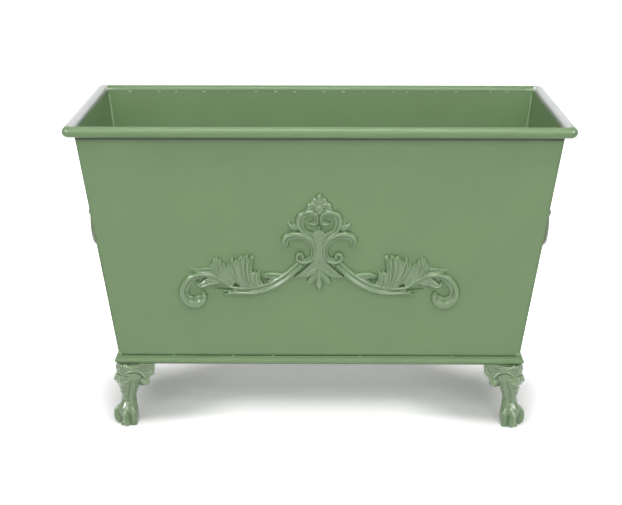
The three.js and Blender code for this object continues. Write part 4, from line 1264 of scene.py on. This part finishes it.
FLOOR_HALF = 12.0
FLOOR_COLOUR = (0.95, 0.915, 0.95, 1)
SHADOW_REACH = (0.29, 0.065)    # half sizes in metres of the floor that keeps its shadow
SHADOW_MIDDLE = 0.09
SHADOW_FORWARD = 0.11           # the shadow lies further forward beside the feet
SHADOW_FADE = 0.19
BESIDE = (0.12, 0.32)           # from the middle of the trough to its feet
NEAR_GLOW = 0.27                # light added to the floor under the middle of the trough
FOOT_GLOW = 0.14                # and beside the feet
AMBIENT = 0.20
MIDDLE, LOW, BELLY = (0, 0, 0.2), (0, 0, 0.25), (0, 0, 0.3)     # what the lamps are aimed at


def stage_floor():
    """White floor that keeps the shadow round the feet and is plain white further out."""
    mesh = bpy.data.meshes.new("floor")
    corners = [(x * FLOOR_HALF, y * FLOOR_HALF, 0)
               for x, y in ((-1, -1), (1, -1), (1, 1), (-1, 1))]
    mesh.from_pydata(corners, [], [(0, 1, 2, 3)])
    floor = bpy.data.objects.new("floor", mesh)
    scene.collection.objects.link(floor)
    material, tree, shader = new_material("floor_white")
    feed(tree, shader, {"Base Color": FLOOR_COLOUR, "Roughness": 0.85,
                        "Specular IOR Level": 0.1})

    def do(operation, *values):
        return maths(tree, operation, *values)
    split = position(tree)[1]
    across = do("ABSOLUTE", split["X"])
    aside = map_range(tree, across, *BESIDE, kind="SMOOTHSTEP")
    x = do("MAXIMUM", 0.0, do("SUBTRACT", across, SHADOW_REACH[0]))
    y = do("MULTIPLY_ADD", aside, SHADOW_FORWARD, split["Y"])
    y = do("ABSOLUTE", do("SUBTRACT", y, SHADOW_MIDDLE))
    y = do("MAXIMUM", 0.0, do("SUBTRACT", y, SHADOW_REACH[1]))
    away = do("SQRT", do("ADD", do("MULTIPLY", x, x), do("MULTIPLY", y, y)))
    near = do("MULTIPLY_ADD", aside, FOOT_GLOW - NEAR_GLOW, NEAR_GLOW)
    spread = map_range(tree, away, 0.0, SHADOW_FADE, near, kind="SMOOTHSTEP")
    glow = add_node(tree, "Emission", {"Strength": do("MULTIPLY", seen_or_mirrored(tree),
                                                      spread)})
    both_shaders = add_node(tree, "AddShader", {0: shader.outputs[0], 1: glow.outputs[0]})
    feed(tree, tree.nodes["Material Output"], {"Surface": both_shaders.outputs[0]})
    mesh.materials.append(material)


def world_light():
    world = bpy.data.worlds.new("studio")
    scene.world = world
    world.use_nodes = True
    tree = world.node_tree
    strength = maths(tree, "MULTIPLY_ADD", seen_or_mirrored(tree), 1 - AMBIENT, AMBIENT)
    feed(tree, tree.nodes["Background"], {"Strength": strength, "Color": (1, 1, 1, 1)})


def area_light(name, place, target, size, power, size_y=None, gloss_only=False):
    data = bpy.data.lights.new(name, "AREA")
    data.energy = power
    data.shape = "RECTANGLE"
    data.size = size
    data.size_y = size_y or size
    light = bpy.data.objects.new(name, data)
    light.location = place
    light.visible_diffuse = not gloss_only
    aim(light, Vector(target) - Vector(place))


stage_floor()
world_light()
area_light("front_left", (-0.9, -2.8, 2.4), LOW, 1.1, 19)
area_light("front_right", (1.0, -2.8, 2.4), LOW, 1.1, 22)
area_light("overhead", (0.0, -0.8, 2.6), MIDDLE, 1.2, 32, 0.9)
for side, sign in SIDES:
    place = (sign * 2.2, -1.7, 1.8)
    area_light(side + "_softbox", place, BELLY, 1.0, 5)
    area_light(side + "_sparkle", place, BELLY, 1.0, 130, gloss_only=True)
